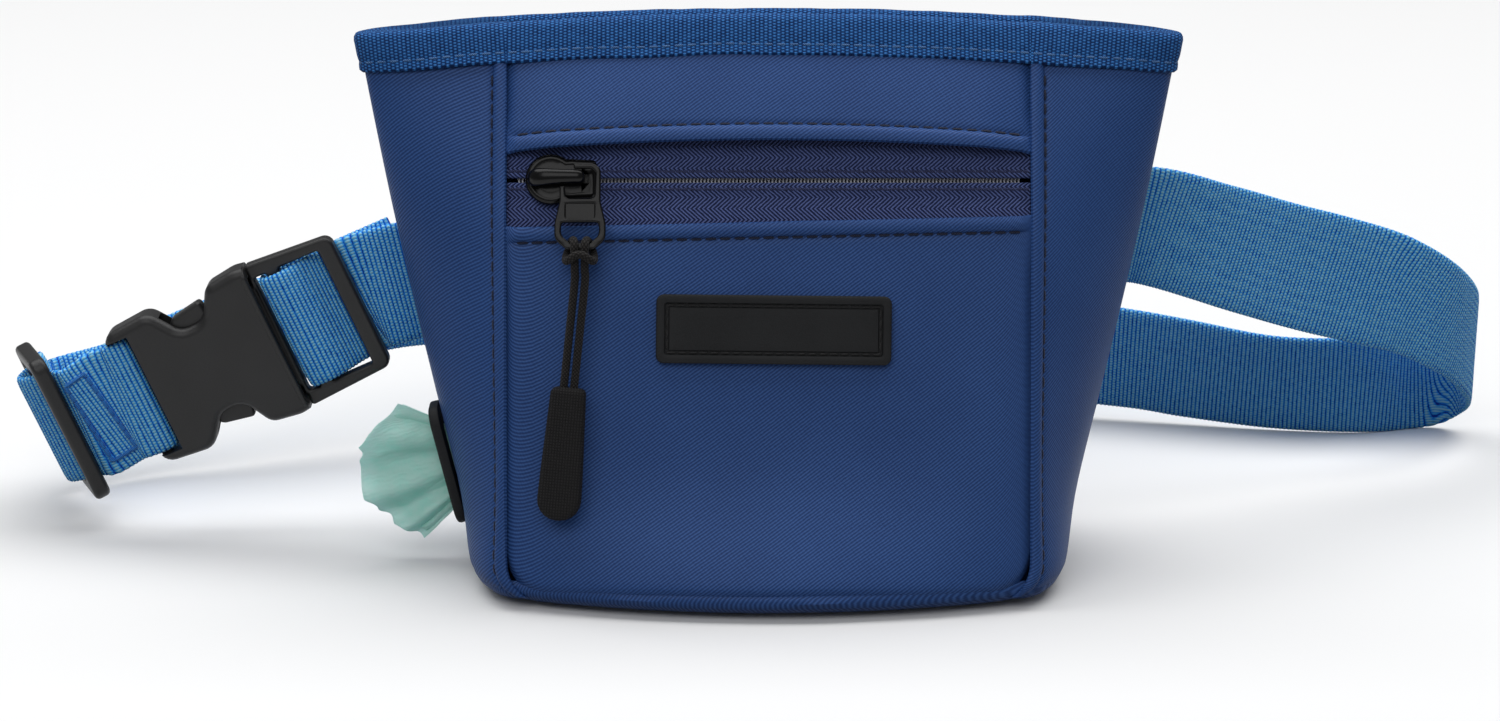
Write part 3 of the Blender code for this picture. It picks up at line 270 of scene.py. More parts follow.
def zip_tape_finish():
    """Herringbone tape: bands of slanting ribs that change direction."""
    made = Finish("herringbone", "zip_tape", Sheen_Weight=0.03, Sheen_Roughness=0.5, Specular_IOR_Level=0.18)
    u, v = made.weave()
    fleck = made.noise(0.7 * MM)
    rib = ((u + v.op("PINGPONG", 2.2 * MM) * 1.1) / (0.88 * MM) + fleck * 0.25).wave()
    shade = rib * 0.8 + fleck * 0.35
    stops = ((0.12, 15, 21, 50), (0.5, 46, 59, 106), (0.95, 100, 116, 174))
    return made.look(shade, stops, (0.85, 0.6), rib, 0.14 * MM)


def lining_finish():
    """Thin plain-woven cloth."""
    made = Finish("lining_cloth", "lining", Sheen_Weight=0.1, Specular_IOR_Level=0.3)
    dots = made.plain_weave(0.5 * MM, 0.5 * MM)
    shade = dots * 0.5 + made.noise(12 * MM, 3.0) * 0.6
    return made.look(shade, ((0.2, 58, 61, 68), (0.85, 98, 102, 110)), (0.75, 0.55), dots, 0.05 * MM)


def moulded_finish(name, slot, dark, light, grain, depth, rough, **sockets):
    """Moulded plastic, rubber or painted metal: fine grain with slow changes of shade and gloss."""
    made = Finish(name, slot, **sockets)
    fine = made.noise(grain, 3.0)
    slow = made.noise(14 * MM)
    made.colour(fine * 0.45 + slow * 0.55, (0.3, *dark), (0.7, *light))
    made.rough(fine * 0.5 + slow * 0.5, *rough)
    made.bump(fine, depth)
    return made


def thread_finish(name, slot, dark, light):
    """Twisted thread."""
    made = Finish(name, slot, Sheen_Weight=0.2, Specular_IOR_Level=0.3)
    x, y, z = made.place()
    twist = ((x + y * 0.6 + z) / (0.42 * MM)).wave()
    shade = twist * 0.6 + made.noise(1.5 * MM) * 0.5
    return made.look(shade, ((0.2, *dark), (0.9, *light)), (0.8, 0.6), twist, 0.04 * MM)


def grip_finish():
    """Rubber with a fine raised grid."""
    made = Finish("grid_rubber", "rubber", Specular_IOR_Level=0.2)
    u, v = made.weave()
    grid = (u / (0.55 * MM)).ridge().op("MINIMUM", (v / (0.55 * MM)).ridge())
    fine = made.noise(0.4 * MM)
    made.colour(grid * 0.6 + fine * 0.4, (0.1, 12, 12, 13), (0.8, 34, 33, 34))
    made.rough(grid, 0.8, 0.6)
    made.bump(grid, 0.1 * MM)
    return made


def cord_finish():
    """Braided cord: strands that cross in both directions."""
    made = Finish("braided_cord", "cord", Sheen_Weight=0.05, Specular_IOR_Level=0.2)
    u, v = made.weave()
    braid = ((u + v) / (0.75 * MM)).ridge() * ((u - v) / (0.75 * MM)).ridge()
    shade = braid * 0.8 + made.noise(0.5 * MM) * 0.3
    return made.look(shade, ((0.1, 8, 8, 8), (0.9, 50, 47, 46)), (0.9, 0.65), braid, 0.15 * MM)


def film_finish():
    """Thin translucent film with fine creases."""
    made = Finish("mint_film", "bag_film", Specular_IOR_Level=0.5)
    along = made.weave()[0]
    crease = made.noise(2.2 * MM, 4.0)
    fine = made.noise(0.6 * MM)
    made.colour(crease * 0.7 + fine * 0.3, (0.25, 205, 252, 244), (0.5, 230, 255, 250), (0.8, 246, 255, 254))
    made.rough(crease, 0.25, 0.5)
    made.bump(crease + (along / (1.1 * MM) + crease * 2.0).wave() * 0.25, 0.16 * MM)
    thin = made.node("BsdfTranslucent")
    thin.inputs["Color"].default_value = srgb(228, 255, 250)
    mix = made.node("MixShader")
    mix.inputs[0].default_value = 0.5
    made.links.new(made.shader.outputs[0], mix.inputs[1])
    made.links.new(thin.outputs[0], mix.inputs[2])
    made.links.new(mix.outputs[0], made.nodes["Material Output"].inputs["Surface"])
    return made


TWILL = twill_finish()
GROSGRAIN = binding_finish()
WEBBING = webbing_finish()
ZIP_TAPE = zip_tape_finish()
GRIP = grip_finish()
CORD = cord_finish()
FILM = film_finish()
LINER = lining_finish()
DARK_THREAD = thread_finish("dark_thread", "navy_twill", (5, 11, 28), (17, 31, 66))
BLUE_THREAD = thread_finish("blue_thread", "binding_tape", (26, 66, 122), (96, 142, 196))
BRIGHT_THREAD = thread_finish("bright_thread", "webbing", (22, 92, 182), (64, 150, 232))
CORD_THREAD = thread_finish("black_thread", "rubber", (8, 8, 9), (34, 34, 36))
TAPE_THREAD = thread_finish("tape_thread", "zip_tape", (16, 20, 50), (66, 76, 126))
PLASTIC = moulded_finish("satin_plastic", "buckle_plastic", (30, 30, 31), (40, 40, 41), 0.35 * MM, 0.015 * MM,
                         (0.5, 0.36), Specular_IOR_Level=0.4)
RUBBER = moulded_finish("soft_rubber", "rubber", (22, 23, 25), (34, 35, 37), 0.25 * MM, 0.03 * MM,
                        (0.7, 0.55), Specular_IOR_Level=0.25)
METAL = moulded_finish("black_metal", "slider_metal", (6, 6, 7), (14, 14, 15), 0.5 * MM, 0.006 * MM,
                       (0.3, 0.2), Specular_IOR_Level=0.2, Coat_Weight=0.1, Coat_Roughness=0.08)
# Zip coil: its nearly white colour is a painted glint, standing in for light caught by the coil heads in the slit.
GLINT_PAINTED_NYLON = moulded_finish("nylon_painted_glint", "zip_teeth", (180, 182, 196), (236, 238, 244), 0.3 * MM, 0.01 * MM,
                       (0.3, 0.2), Specular_IOR_Level=0.6)
STEEL = moulded_finish("magnet_steel", "magnet", (150, 150, 155), (185, 185, 190), 0.2 * MM, 0.01 * MM,
                       (0.4, 0.28), Metallic=1.0)
CORE = moulded_finish("grey_core", "core_plastic", (196, 196, 192), (216, 216, 212), 0.4 * MM, 0.02 * MM,
                      (0.6, 0.45))


# Mesh helpers

def put(name, data):
    """New object in the scene."""
    made = bpy.data.objects.new(name, data)
    bpy.context.scene.collection.objects.link(made)
    return made


def piece(name, mesh, finish, body, *nodes, sharp=42, hard=False):
    """Show a mesh that rides on a body, or stays where it is when given two, and stands for the named solids. Hard
    ones have flat faces that keep their shading up to their rounded edges."""
    made = put(name, mesh)
    mesh.materials.clear()
    mesh.materials.append(finish.material)
    mesh.shade_smooth()
    mesh.set_sharp_from_angle(angle=radians(sharp))
    if hard:
        made.modifiers.new("flat_faces", "WEIGHTED_NORMAL").keep_sharp = True
    if isinstance(body, str):
        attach(made, body)
    else:
        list(body)
        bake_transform(made)
    if nodes:
        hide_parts(*nodes)
    return made


def lengths(points, axis):
    """Distance run along one axis of a grid of points."""
    steps = np.linalg.norm(np.diff(points, axis=axis), axis=2)
    start = np.zeros_like(np.take(steps, [0], axis=axis))
    return np.concatenate([start, np.cumsum(steps, axis=axis)], axis=axis)


def add_weave(mesh, places):
    """Weave coordinates for each point of a mesh."""
    layer = mesh.uv_layers.new(name="weave")
    index = np.zeros(len(mesh.loops), np.int32)
    mesh.loops.foreach_get("vertex_index", index)
    layer.uv.foreach_set("vector", np.asarray(places, np.float32)[index].ravel())


def make_mesh(name, points, faces, places=None):
    """Mesh from points and faces, with its weave coordinates if it has any."""
    mesh = bpy.data.meshes.new(name)
    mesh.from_pydata([tuple(p) for p in points], [], [tuple(f) for f in faces])
    if places is not None:
        add_weave(mesh, places)
    return mesh


def unit(vectors):
    """Vectors of length 1 along the last axis."""
    return vectors / np.linalg.norm(vectors, axis=-1, keepdims=True)


def square_to(vectors, along):
    """Unit vectors turned square to the way along."""
    return unit(vectors - along * np.sum(vectors * along, axis=1, keepdims=True))


def moved_in(line, inset):
    """Closed outline moved inwards."""
    along = np.roll(line, -1, axis=0) - np.roll(line, 1, axis=0)
    return line - unit(np.stack([along[:, 1], -along[:, 0]], axis=1)) * inset


def ring_faces(rings, count, closed=False):
    """Faces between rings of count points, capped at both ends unless the last ring meets the first."""
    faces = []
    for i in range(rings if closed else rings - 1):
        a, b = i * count, (i + 1) % rings * count
        faces += [(a + k, a + (k + 1) % count, b + (k + 1) % count, b + k) for k in range(count)]
    if not closed:
        faces += [tuple(reversed(range(count))), tuple(range((rings - 1) * count, rings * count))]
    return faces


# How far a rounded edge of cloth swells out, as a share of its thickness
EDGE_SWELL = 0.45


def cloth(name, grid, thick, soft=(True, True, True, True)):
    """Closed sheet whose outer face is a grid of points. Soft says which of its edges are rounded: foot, head,
    first column, last column."""
    outer = np.array(grid, float)
    along = unit(np.gradient(outer, axis=1))
    up = unit(np.gradient(outer, axis=0))
    inner = outer - unit(np.cross(along, up)) * thick
    push = np.zeros_like(outer)
    push[0] -= up[0] * soft[0]
    push[-1] += up[-1] * soft[1]
    push[:, 0] -= along[:, 0] * soft[2]
    push[:, -1] += along[:, -1] * soft[3]
    middle = (outer + inner) / 2 + push * thick * EDGE_SWELL
    run = lengths(outer, 1)
    run -= run[:, run.shape[1] // 2][:, None]
    places = np.stack([run, lengths(outer, 0)], axis=2).reshape(-1, 2)
    total = run.size
    index = np.arange(total).reshape(run.shape)
    rim = np.concatenate([index[0], index[1:, -1], index[-1, -2::-1], index[-2:0:-1, 0]]).tolist()
    faces = []
    for a, b in zip(index[:-1, :-1].ravel().tolist(), index[1:, :-1].ravel().tolist()):
        faces += [(a, a + 1, b + 1, b), (total + a, total + b, total + b + 1, total + a + 1)]
    for k, a in enumerate(rim):
        n = (k + 1) % len(rim)
        near, far, b = 2 * total + k, 2 * total + n, rim[n]
        faces += [(a, near, far, b), (near, total + a, total + b, far)]
    points = np.concatenate([outer.reshape(-1, 3), inner.reshape(-1, 3), middle.reshape(-1, 3)[rim]])
    return make_mesh(name, points, faces, np.concatenate([places, places, places[rim]]))


def graded(total, first, last, count):
    """Distances from 0 to total: given ones near both ends, and count even ones between."""
    middle = np.linspace(first[-1], total - last[-1], count + 2)[1:-1]
    return list(first) + list(middle) + [total - d for d in reversed(last)]


def mm(*values):
    return [value * MM for value in values]


def ripple(x, y, z, size, seed):
    """Smooth noise from about -1 to 1."""
    return noise.noise(Vector((x / size + seed, y / size, z / size + seed)))


def dome(place, middle, half):
    """Round hump of height 1."""
    return sqrt(max(1 - ((place - middle) / half) ** 2, 0.0))


def dent(place, middle, half):
    """Smooth bell of height 1, taken away where cloth is pressed in."""
    return exp(-((place - middle) / half) ** 2)


def fade(place, over):
    """0 at the start of a stretch, 1 at its end and beyond."""
    return min(place / over, 1)


def in_mm(x, y, z):
    return Vector((x, y, z)) * MM


def frame_at(place, right, up, out):
    """Frame at a place, with its local X, Y and Z in three directions."""
    return Matrix.Translation(place) @ Matrix((right, up, out)).transposed().to_4x4()


def tube(path, radii, normals, sides=6):
    """Points and faces of a closed tube along a path. Radii are one number or (along normal, across) per point, and
    normals one for all points or one each."""
    path = np.array(path, float)
    along = unit(np.gradient(path, axis=0))
    normals = square_to(np.array(normals, float), along)
    across = np.cross(along, normals)
    radii = np.array(radii, float)
    if radii.ndim < 2:
        radii = np.stack([radii * np.ones(len(path))] * 2, axis=1)
    turns = np.arange(sides) * 2 * pi / sides
    points = (path[:, None] + normals[:, None] * (radii[:, :1] * np.cos(turns))[:, :, None]
              + across[:, None] * (radii[:, 1:] * np.sin(turns))[:, :, None]).reshape(-1, 3)
    return points, ring_faces(len(path), sides)


def merged(name, shapes):
    """One mesh from several sets of points and faces."""
    points = []
    faces = []
    for shape, rims in shapes:
        faces += [tuple(len(points) + i for i in rim) for rim in rims]
        points += list(shape)
    return make_mesh(name, points, faces)


def sewn(name, grid, thick, finish, body, *nodes, sharp=42):
    """Show a sheet of cloth or film."""
    return piece(name, cloth(name, grid, thick), finish, body, *nodes, sharp=sharp)


def stitched(name, shapes, finish, body, *nodes):
    """Show bars of thread."""
    return piece(name, merged(name, shapes), finish, body, *nodes)


def moulded(name, mesh, spot, finish, body, *nodes):
    """Show a hard mesh, set from its own frame into a spot."""
    mesh.transform(spot)
    return piece(name, mesh, finish, body, *nodes, hard=True)


def run_along(path):
    """Distance run at each point of a path, whose first three columns are its places."""
    steps = np.diff(np.array(path, float)[:, :3], axis=0)
    return np.concatenate([[0], np.cumsum(np.linalg.norm(steps, axis=1))])


def sampled(path, places):
    """Points at given distances along a path."""
    run = run_along(path)
    return np.stack([np.interp(places, run, column) for column in np.array(path, float).T], axis=1)


def path_length(path):
    return float(run_along(path)[-1])


# A stitch at five places along it: how far on, how thick and how deep in the cloth
STITCH_SHARES = np.array([0.0, 0.14, 0.5, 0.86, 1.0])
STITCH_SIZES = np.array([0.55, 0.95, 1.0, 0.95, 0.55])
STITCH_SINK = np.array([0.9, 0.15, -0.1, 0.15, 0.9])


def stitch_row(path, normals, pitch=2.8 * MM, share=0.74, radius=0.26 * MM):
    """Bars of thread along a path on a surface, with one normal for all its points or one each."""
    total = path_length(path)
    count = max(int(total / pitch), 1)
    step = total / count
    path = np.array(path, float)
    both = np.concatenate([path, np.broadcast_to(np.array(normals, float), path.shape)], axis=1)
    shapes = []
    for k in range(count):
        at = sampled(both, (k + (1 - share) / 2 + STITCH_SHARES * share) * step)
        out = unit(at[:, 3:])
        shapes.append(tube(at[:, :3] - out * (STITCH_SINK * radius)[:, None], STITCH_SIZES * radius, out))
    return shapes


# Shape of the bag

def rise(z):
    return min(max(z / RIM_HEIGHT, 0.0), 1.0)


def front_y(z):
    """Front wall, whose pocket is pulled nearly straight between the base and the zip."""
    bulge = rise(z) ** 1.6
    if z < POCKET_TOP:
        straight = rise(POCKET_TOP) ** 1.6 * max(z, 0) / POCKET_TOP
        bulge += (straight - bulge) * POCKET_TAUT
    return -HALF_DEPTH + (HALF_DEPTH + MOUTH_Y - LIP) * bulge


def back_y(z):
    return HALF_DEPTH - (HALF_DEPTH - MOUTH_Y - LIP) * rise(z) ** 1.3


def rim_z(x):
    return RIM_HEIGHT - RIM_DROP * (x / RIM_HALF) ** 2


def slope(wall, z):
    step = 0.1 * MM
    return (wall(z + step) - wall(z - step)) / (2 * step)


def front_out(z):
    return Vector((0, -1, slope(front_y, z))).normalized()


def back_out(z):
    return Vector((0, 1, -slope(back_y, z))).normalized()


def front_point(x, z, lift):
    """Point on the front wall, lifted outwards."""
    return Vector((x, front_y(z), z)) + front_out(z) * lift


def back_point(x, z, lift):
    return Vector((x, back_y(z), z)) + back_out(z) * lift


def front_frame(x, z, lift, turn=0.0):
    """Frame on the front wall: local X to the right, Y up the slope, Z out of the wall by lift."""
    out = front_out(z)
    right = Vector((1, 0, 0))
    return frame_at(front_point(x, z, lift), right, out.cross(right), out) @ Matrix.Rotation(turn, 4, "Z")


def seam_x(z):
    low = min(max(PANEL_CORNER - (z - WALL_FOOT), 0.0), PANEL_CORNER)
    return CORNER_X + sqrt(PANEL_CORNER ** 2 - low ** 2)


def tip_x(z):
    return BASE_HALF + (RIM_HALF - BASE_HALF) * rise(z) ** 0.75 + FOOT_SPREAD * exp(-(z / (12 * MM)) ** 2)


def fullness(z):
    return 1.5 + 1.5 * (1 - rise(z)) ** 3 + 2.5 * rise(z) ** 6


def gusset_point(side, turn, z, inset=0.0):
    """Point on a gusset: turn runs from -90 degrees at the front seam to 90 at the back seam."""
    middle = (front_y(z) + back_y(z)) / 2
    half = (back_y(z) - front_y(z)) / 2
    reach = tip_x(z) - seam_x(z)
    shrink = 1 - inset * sqrt(half ** 2 + reach ** 2) / (half * reach)
    across = abs(sin(turn)) ** (2 / fullness(z)) * (1 if turn > 0 else -1)
    x = seam_x(z) + shrink * reach * cos(turn) ** (2 - 1.1 * exp(-(z / (16 * MM)) ** 2))
    return Vector((side * x, middle + shrink * half * across, z))


def gusset_out(side, turn, z):
    """Outward direction of a gusset."""
    step = 0.02
    turn = min(max(turn, -pi / 2 + step), pi / 2 - step)
    along = gusset_point(side, turn + step, z) - gusset_point(side, turn - step, z)
    up = gusset_point(side, turn, z + 0.2 * MM) - gusset_point(side, turn, z - 0.2 * MM)
    normal = along.cross(up).normalized()
    return normal if normal.x * side > 0 else -normal


def rim_x(turn):
    """How far out a turn of the gusset lies at the rim."""
    return RIM_HALF * cos(turn) ** 2 + PANEL_HALF * sin(turn) ** 2


def panel_head(x):
    return rim_z(x) - BINDING_THICK - GAP


def panel_foot(x):
    """Lower edge of a panel: straight, with rounded corners."""
    past = max(abs(x) - CORNER_X, 0.0)
    return WALL_FOOT + PANEL_CORNER - sqrt(max(PANEL_CORNER ** 2 - past ** 2, 0.0))


def yoke_foot(x):
    return ZIP_HEIGHT + ZIP_UP - YOKE_SAG * (x / PANEL_HALF) ** 2


def pocket_head(x):
    return ZIP_HEIGHT - ZIP_DOWN + FOLD_SLANT * x


# Where the front half of the right gusset would stay still, at its fold, and where it would wholly follow the front
# wall
STILL_FOLD = mm(71, 2.7, 56)
MOVED_SEAM = mm(50.2, -10.9, 62)


def gusset_bend(side):
    """Bodies and points for how the front half of a gusset would follow the front wall: not at all at its fold, and
    wholly at its seam.
    """
    return ("pouch", "front_wall", *((side * x, y, z) for x, y, z in (STILL_FOLD, MOVED_SEAM)))


# Cloth of the bag

HEM_STITCH = 2.75 * MM
HEM_STEPS = mm(0, 0.25, 0.6, 1.0, 1.4, 1.8, 2.2, 2.5, 2.75, 3.0, 3.4, 4.2, 5.5)
SEAM_STEPS = mm(0, 0.3, 0.7, 1.1, 1.6, 2.3, 3.4, 5.0)
FOOT_STEPS = mm(0, 0.4, 0.9, 1.5, 2.3, 3.4, 5.0)
CREASE = 0.9 * MM
BOARD_TOP = 1.4 * MM
GUSSET_FOOT = WALL_FOOT + 1.2 * MM
FOLD_TURN = 0.002
HEM_RISE = 0.75 * MM


def hem(place):
    """Rounded fold that is held by a row of stitches beyond it."""
    return HEM_RISE * dome(place, 1.15 * MM, 1.5 * MM) - 0.28 * MM * dent(place, 2.8 * MM, 0.4 * MM)


def inset_of(x, z):
    """How far a point of a panel lies from its side and lower edges."""
    past = abs(x) - CORNER_X
    low = WALL_FOOT + PANEL_CORNER - z
    if past > 0 and low > 0:
        return PANEL_CORNER - sqrt(past ** 2 + low ** 2)
    return min(PANEL_HALF - abs(x), z - WALL_FOOT)


def panel_relief(x, z, swell, seed):
    """Outward shape of a sewn panel: pulled in at its seams, a little full between them."""
    inset = inset_of(x, z)
    edge = max(inset, 0.0)
    full = swell * (1 - exp(-edge / (11 * MM)))
    soft = 0.22 * ripple(x, 0, z, 36 * MM, seed) + 0.05 * ripple(x, 0, z, 12 * MM, seed + 5)
    return full - CREASE * dent(edge, 0, 1.3 * MM) + soft * MM * fade(edge, 9 * MM) + min(inset, 0) / 2


def panel_columns(count, sign=1):
    """Places across a panel, whose side edges are tucked under the hems of the gussets."""
    places = graded(2 * PANEL_HALF - 2 * GAP, SEAM_STEPS, SEAM_STEPS, count)
    outer = PANEL_HALF + TUCK
    return [sign * x for x in [-outer] + [place - PANEL_HALF + GAP for place in places] + [outer]]


def panel_grid(point, columns, foot, head, foot_steps, head_steps, count, relief):
    """Rows from foot to head; relief(x, z, up, down) gives the outward shape."""
    grid = []
    for x in columns:
        low, high = foot(x), head(x)
        row = []
        for up in graded(high - low, foot_steps, head_steps, count):
            z = low + up
            row.append(point(x, z, relief(x, z, up, high - z)))
        grid.append(row)
    return np.array(grid).transpose(1, 0, 2)


def pocket_relief(x, z, up, down):
    full = panel_relief(x, z, 0.3 * MM, 2.0) * fade(down, 12 * MM)
    curl = -1.1 * MM * dent(up, 0, 1.1 * MM)
    return full + hem(down) * fade(PANEL_HALF - abs(x), 2 * MM) + curl + foot_bow(x, z)


def yoke_lean(x, z):
    """How far the yoke stands out over the zip: not at all at its seams, and most at its folded foot."""
    head = rim_z(x) - BINDING_HEIGHT
    share = min(max((head - z) / (head - yoke_foot(x)), 0), 1)
    return YOKE_LEAN * share * fade(PANEL_HALF - abs(x), 9 * MM)


def yoke_relief(x, z, up, down):
    full = panel_relief(x, z, 0.5 * MM, 7.0) * fade(up, 8 * MM)
    return full + hem(up) * fade(PANEL_HALF - abs(x), 2 * MM) + yoke_lean(x, z)


def foot_bow(x, z):
    """How far the filled bag pushes its front edge forwards."""
    return FOOT_BOW * max(1 - (x / PANEL_HALF) ** 2, 0) * exp(-(z / (18 * MM)) ** 2)


def soft_foot(x):
    """Lower edge of the front or back panel, a little uneven above the base."""
    return panel_foot(x) + (1.7 + 0.45 * ripple(x, 0, 0, 21 * MM, 3.0)) * MM


def build_walls():
    pocket = panel_grid(front_point, panel_columns(44), soft_foot, pocket_head, FOOT_STEPS, HEM_STEPS, 24,
                        pocket_relief)
    sewn("pocket_cloth", pocket, FABRIC, TWILL, "front_wall", "front_pocket")
    yoke = panel_grid(front_point, panel_columns(44), yoke_foot, panel_head, HEM_STEPS, SEAM_STEPS, 4, yoke_relief)
    sewn("yoke_cloth", yoke, FABRIC, TWILL, "front_wall", "front_yoke")
    back = panel_grid(back_point, panel_columns(40, -1), soft_foot, panel_head, FOOT_STEPS, SEAM_STEPS, 30,
                      lambda x, z, up, down: panel_relief(x, z, 0.5 * MM, 11.0))
    sewn("back_cloth", back, FABRIC, TWILL, "pouch", "back_panel")
    hem_stitches("yoke_stitches", yoke_foot, 1, yoke_lean)
    hem_stitches("pocket_stitches", pocket_head, -1, lambda x, z: 0)


def hem_stitches(name, edge, way, stand):
    """Stitches beside the folded edge of the zip opening, on cloth that stands out from the wall."""
    path = []
    normals = []
    for x in np.linspace(-PANEL_HALF + 2 * MM, PANEL_HALF - 2 * MM, 60):
        z = edge(x) + way * HEM_STITCH
        path.append(front_point(x, z, stand(x, z) - 0.05 * MM))
        normals.append(front_out(z))
    stitched(name, stitch_row(path, normals, radius=0.34 * MM), DARK_THREAD, "front_wall")


def gusset_grid(side, half):
    """Grid of one half of a gusset, from its seam to its fold, with the distance of each point from the seam."""
    turns = np.linspace(half * pi / 2, half * FOLD_TURN, 70)
    shares = graded(1.0, [0, 0.006, 0.014, 0.024, 0.036, 0.052, 0.075], [0, 0.02, 0.05], 30)
    grid = []
    for share in shares:
        line = []
        for turn in turns:
            head = panel_head(rim_x(turn))
            line.append(gusset_point(side, turn, GUSSET_FOOT + (head - GUSSET_FOOT) * share))
        total = path_length(line)
        places = graded(total, HEM_STEPS, mm(0, 0.5, 1.2, 2.4), 13)
        grid.append((places, sampled(line, places), total))
    return shares, grid


def gusset_half(side, half, seed):
    """Cloth of half a gusset: a rounded, stitched hem along its seam, soft ripples, and a plain fold."""
    shares, grid = gusset_grid(side, half)
    flat = np.array([points for places, points, total in grid])
    out = unit(np.cross(np.gradient(flat, axis=1), np.gradient(flat, axis=0)))
    if side * half > 0:
        out = -out
    stitch = []
    for i, (places, points, total) in enumerate(grid):
        for j, place in enumerate(places):
            x, y, z = flat[i, j]
            calm = fade(total - place, 9 * MM) * fade(place, 8 * MM)
            soft = 0.45 * ripple(x, y, z, 32 * MM, seed) + 0.08 * ripple(x, y, z, 13 * MM, seed + 3)
            lift = hem(place) + soft * MM * calm - 1.0 * MM * dent(shares[i], 0, 0.012)
            if j == HEM_STEPS.index(HEM_STITCH) and 0.03 < shares[i] < 0.94:
                stitch.append((*(flat[i, j] + out[i, j] * 0.05 * MM), *out[i, j]))
            flat[i, j] += out[i, j] * lift
    if side * half > 0:
        flat = flat[:, ::-1]
    return flat, np.array(stitch)


def build_gussets():
    for (side, name), (half, end) in product(((-1, "left"), (1, "right")), ((-1, "front"), (1, "rear"))):
        label = name + "_gusset_" + end
        flat, stitch = gusset_half(side, half, 20.0 + 3 * side + half)
        ride = gusset_bend(side) if half < 0 else "pouch"
        first = side * half < 0
        mesh = cloth(label, flat, FABRIC, (True, True, first, not first))
        piece(label, mesh, TWILL, ride, *([name + "_gusset"] if half > 0 else []))
        stitched(label + "_stitches", stitch_row(stitch[:, :3], stitch[:, 3:]), DARK_THREAD, ride)


def build_base():
    """Base cloth with a rounded lower edge, closed by the board's upper face."""
    turns = np.linspace(-pi / 2, pi / 2, 41)
    outline = [gusset_point(1, turn, WALL_FOOT + 3 * MM) for turn in turns]
    straight = np.linspace(outline[-1].x, -outline[-1].x, 25)[1:-1]
    outline += [Vector((x, outline[-1].y, 0)) for x in straight]
    outline += [Vector((-p.x, p.y, 0)) for p in reversed(outline[:41])]
    outline += [Vector((-x, outline[0].y - foot_bow(x, 0), 0)) for x in straight]
    flat = np.array([(p.x, p.y) for p in outline])
    count = len(flat)
    rings = [(flat * scale, 0.0) for scale in (0.25, 0.5, 0.7)]
    for inset, z in ((11.0, 0.0), (7.0, 0.3), (4.2, 0.9), (2.2, 1.8), (1.0, 2.9), (0.5, 4.0), (0.7, 5.0), (1.3, 5.6),
                     (2.2, 5.2), (2.8, 4.0), (3.6, 2.6), (6.0, 1.8)):
        wave = np.array([0.25 * ripple(x, y, 0, 17 * MM, z) * (0.5 < z) for x, y in flat])[:, None]
        rings.append((moved_in(flat, (inset + wave) * MM), z * MM))
    rings += [(flat * scale, BOARD_TOP) for scale in (0.8, 0.5, 0.25)]
    points = np.array([(0, 0, 0)] + [(x, y, z) for ring, z in rings for x, y in ring] + [(0, 0, BOARD_TOP)])
    last = len(points) - 1
    faces = [tuple(1 + i for i in face) for face in ring_faces(len(rings), count)[:-2]]
    for k in range(count):
        n = (k + 1) % count
        faces += [(0, 1 + n, 1 + k), (last - count + k, last - count + n, last)]
    mesh = make_mesh("base_cloth", points, faces, points[:, :2] + points[:, 2:] * 1.5)
    piece("base_cloth", mesh, TWILL, "pouch", "base_panel")


BINDING_STEPS = mm(0, 0.5, 1.1, 1.6, 2.1, 3.0, 4.4)
BINDING_STITCH = 1.65 * MM


def binding_column(x, surface, seed):
    """Profile of the tape: up the outside, over the rim and down the inside."""
    top = rim_z(x) + (0.25 * ripple(x, 0, 0, 13 * MM, 31.0) + 0.12 * ripple(x, 0, 0, 5 * MM, 37.0)) * MM
    foot = rim_z(x) - BINDING_HEIGHT + 0.3 * MM * ripple(x, 0, 0, 16 * MM, 41.0)
    outer = GAP + BINDING_THICK
    inner = FABRIC + FOLD_GAP + BINDING_THICK
    radius = (outer + inner) / 2
    swell = 0.16 * MM * ripple(x, 0, 0, 10 * MM, seed)
    rows = []
    for step in BINDING_STEPS:
        pressed = 0.22 * MM * dent(step, BINDING_STITCH, 0.5 * MM)
        rows.append(surface(foot + step, outer - pressed + swell * fade(step, 2 * MM)))
    for turn in np.linspace(0, pi, 8):
        rows.append(surface(top - radius + radius * sin(turn), outer - radius + radius * cos(turn)))
    for step in reversed(BINDING_STEPS):
        rows.append(surface(foot + step, -inner))
    return rows


def gusset_surface(side, turn):
    def surface(z, offset):
        place = gusset_point(side, turn, z, max(-offset, 0.0))
        return place + gusset_out(side, turn, z) * max(offset, 0.0)
    return surface


def wing_columns(side, half):
    """Columns of tape over half a gusset, from its seam to its fold."""
    line = np.linspace(half * pi / 2, half * FOLD_TURN, 200)
    run = run_along([gusset_point(side, turn, RIM_HEIGHT - 6 * MM) for turn in line])
    return [binding_column(side * rim_x(turn), gusset_surface(side, turn), 45.0 + half)
            for turn in np.interp(np.linspace(0, run[-1], 26), run, line)]


def wall_columns(point, xs):
    return [binding_column(x, lambda z, offset: point(x, z, offset), 44.0) for x in xs]


def tape(name, columns, ride, *nodes):
    """Binding tape with its row of stitches."""
    grid = np.array(columns).transpose(1, 0, 2)
    piece(name, cloth(name, grid, BINDING_THICK, (True, True, False, False)), GROSGRAIN, ride, *nodes)
    line = grid[3]
    out = unit(np.cross(np.gradient(line, axis=0), grid[4] - grid[2]))
    stitched(name + "_stitches", stitch_row(line, out, 2.5 * MM, 0.72, 0.24 * MM), BLUE_THREAD, ride)


def build_binding():
    xs = np.linspace(-PANEL_HALF, PANEL_HALF, 70)
    tape("front_tape", wall_columns(front_point, xs), "front_wall", "front_binding")
    tape("right_wing_tape", wing_columns(1, -1), gusset_bend(1))
    tape("left_wing_tape", wing_columns(-1, -1)[::-1], gusset_bend(-1))
    rear = wing_columns(1, 1)[::-1] + wall_columns(back_point, xs[::-1])[1:-1] + wing_columns(-1, 1)
    tape("rear_tape", rear, "pouch", "rear_binding")


# Hardware helpers

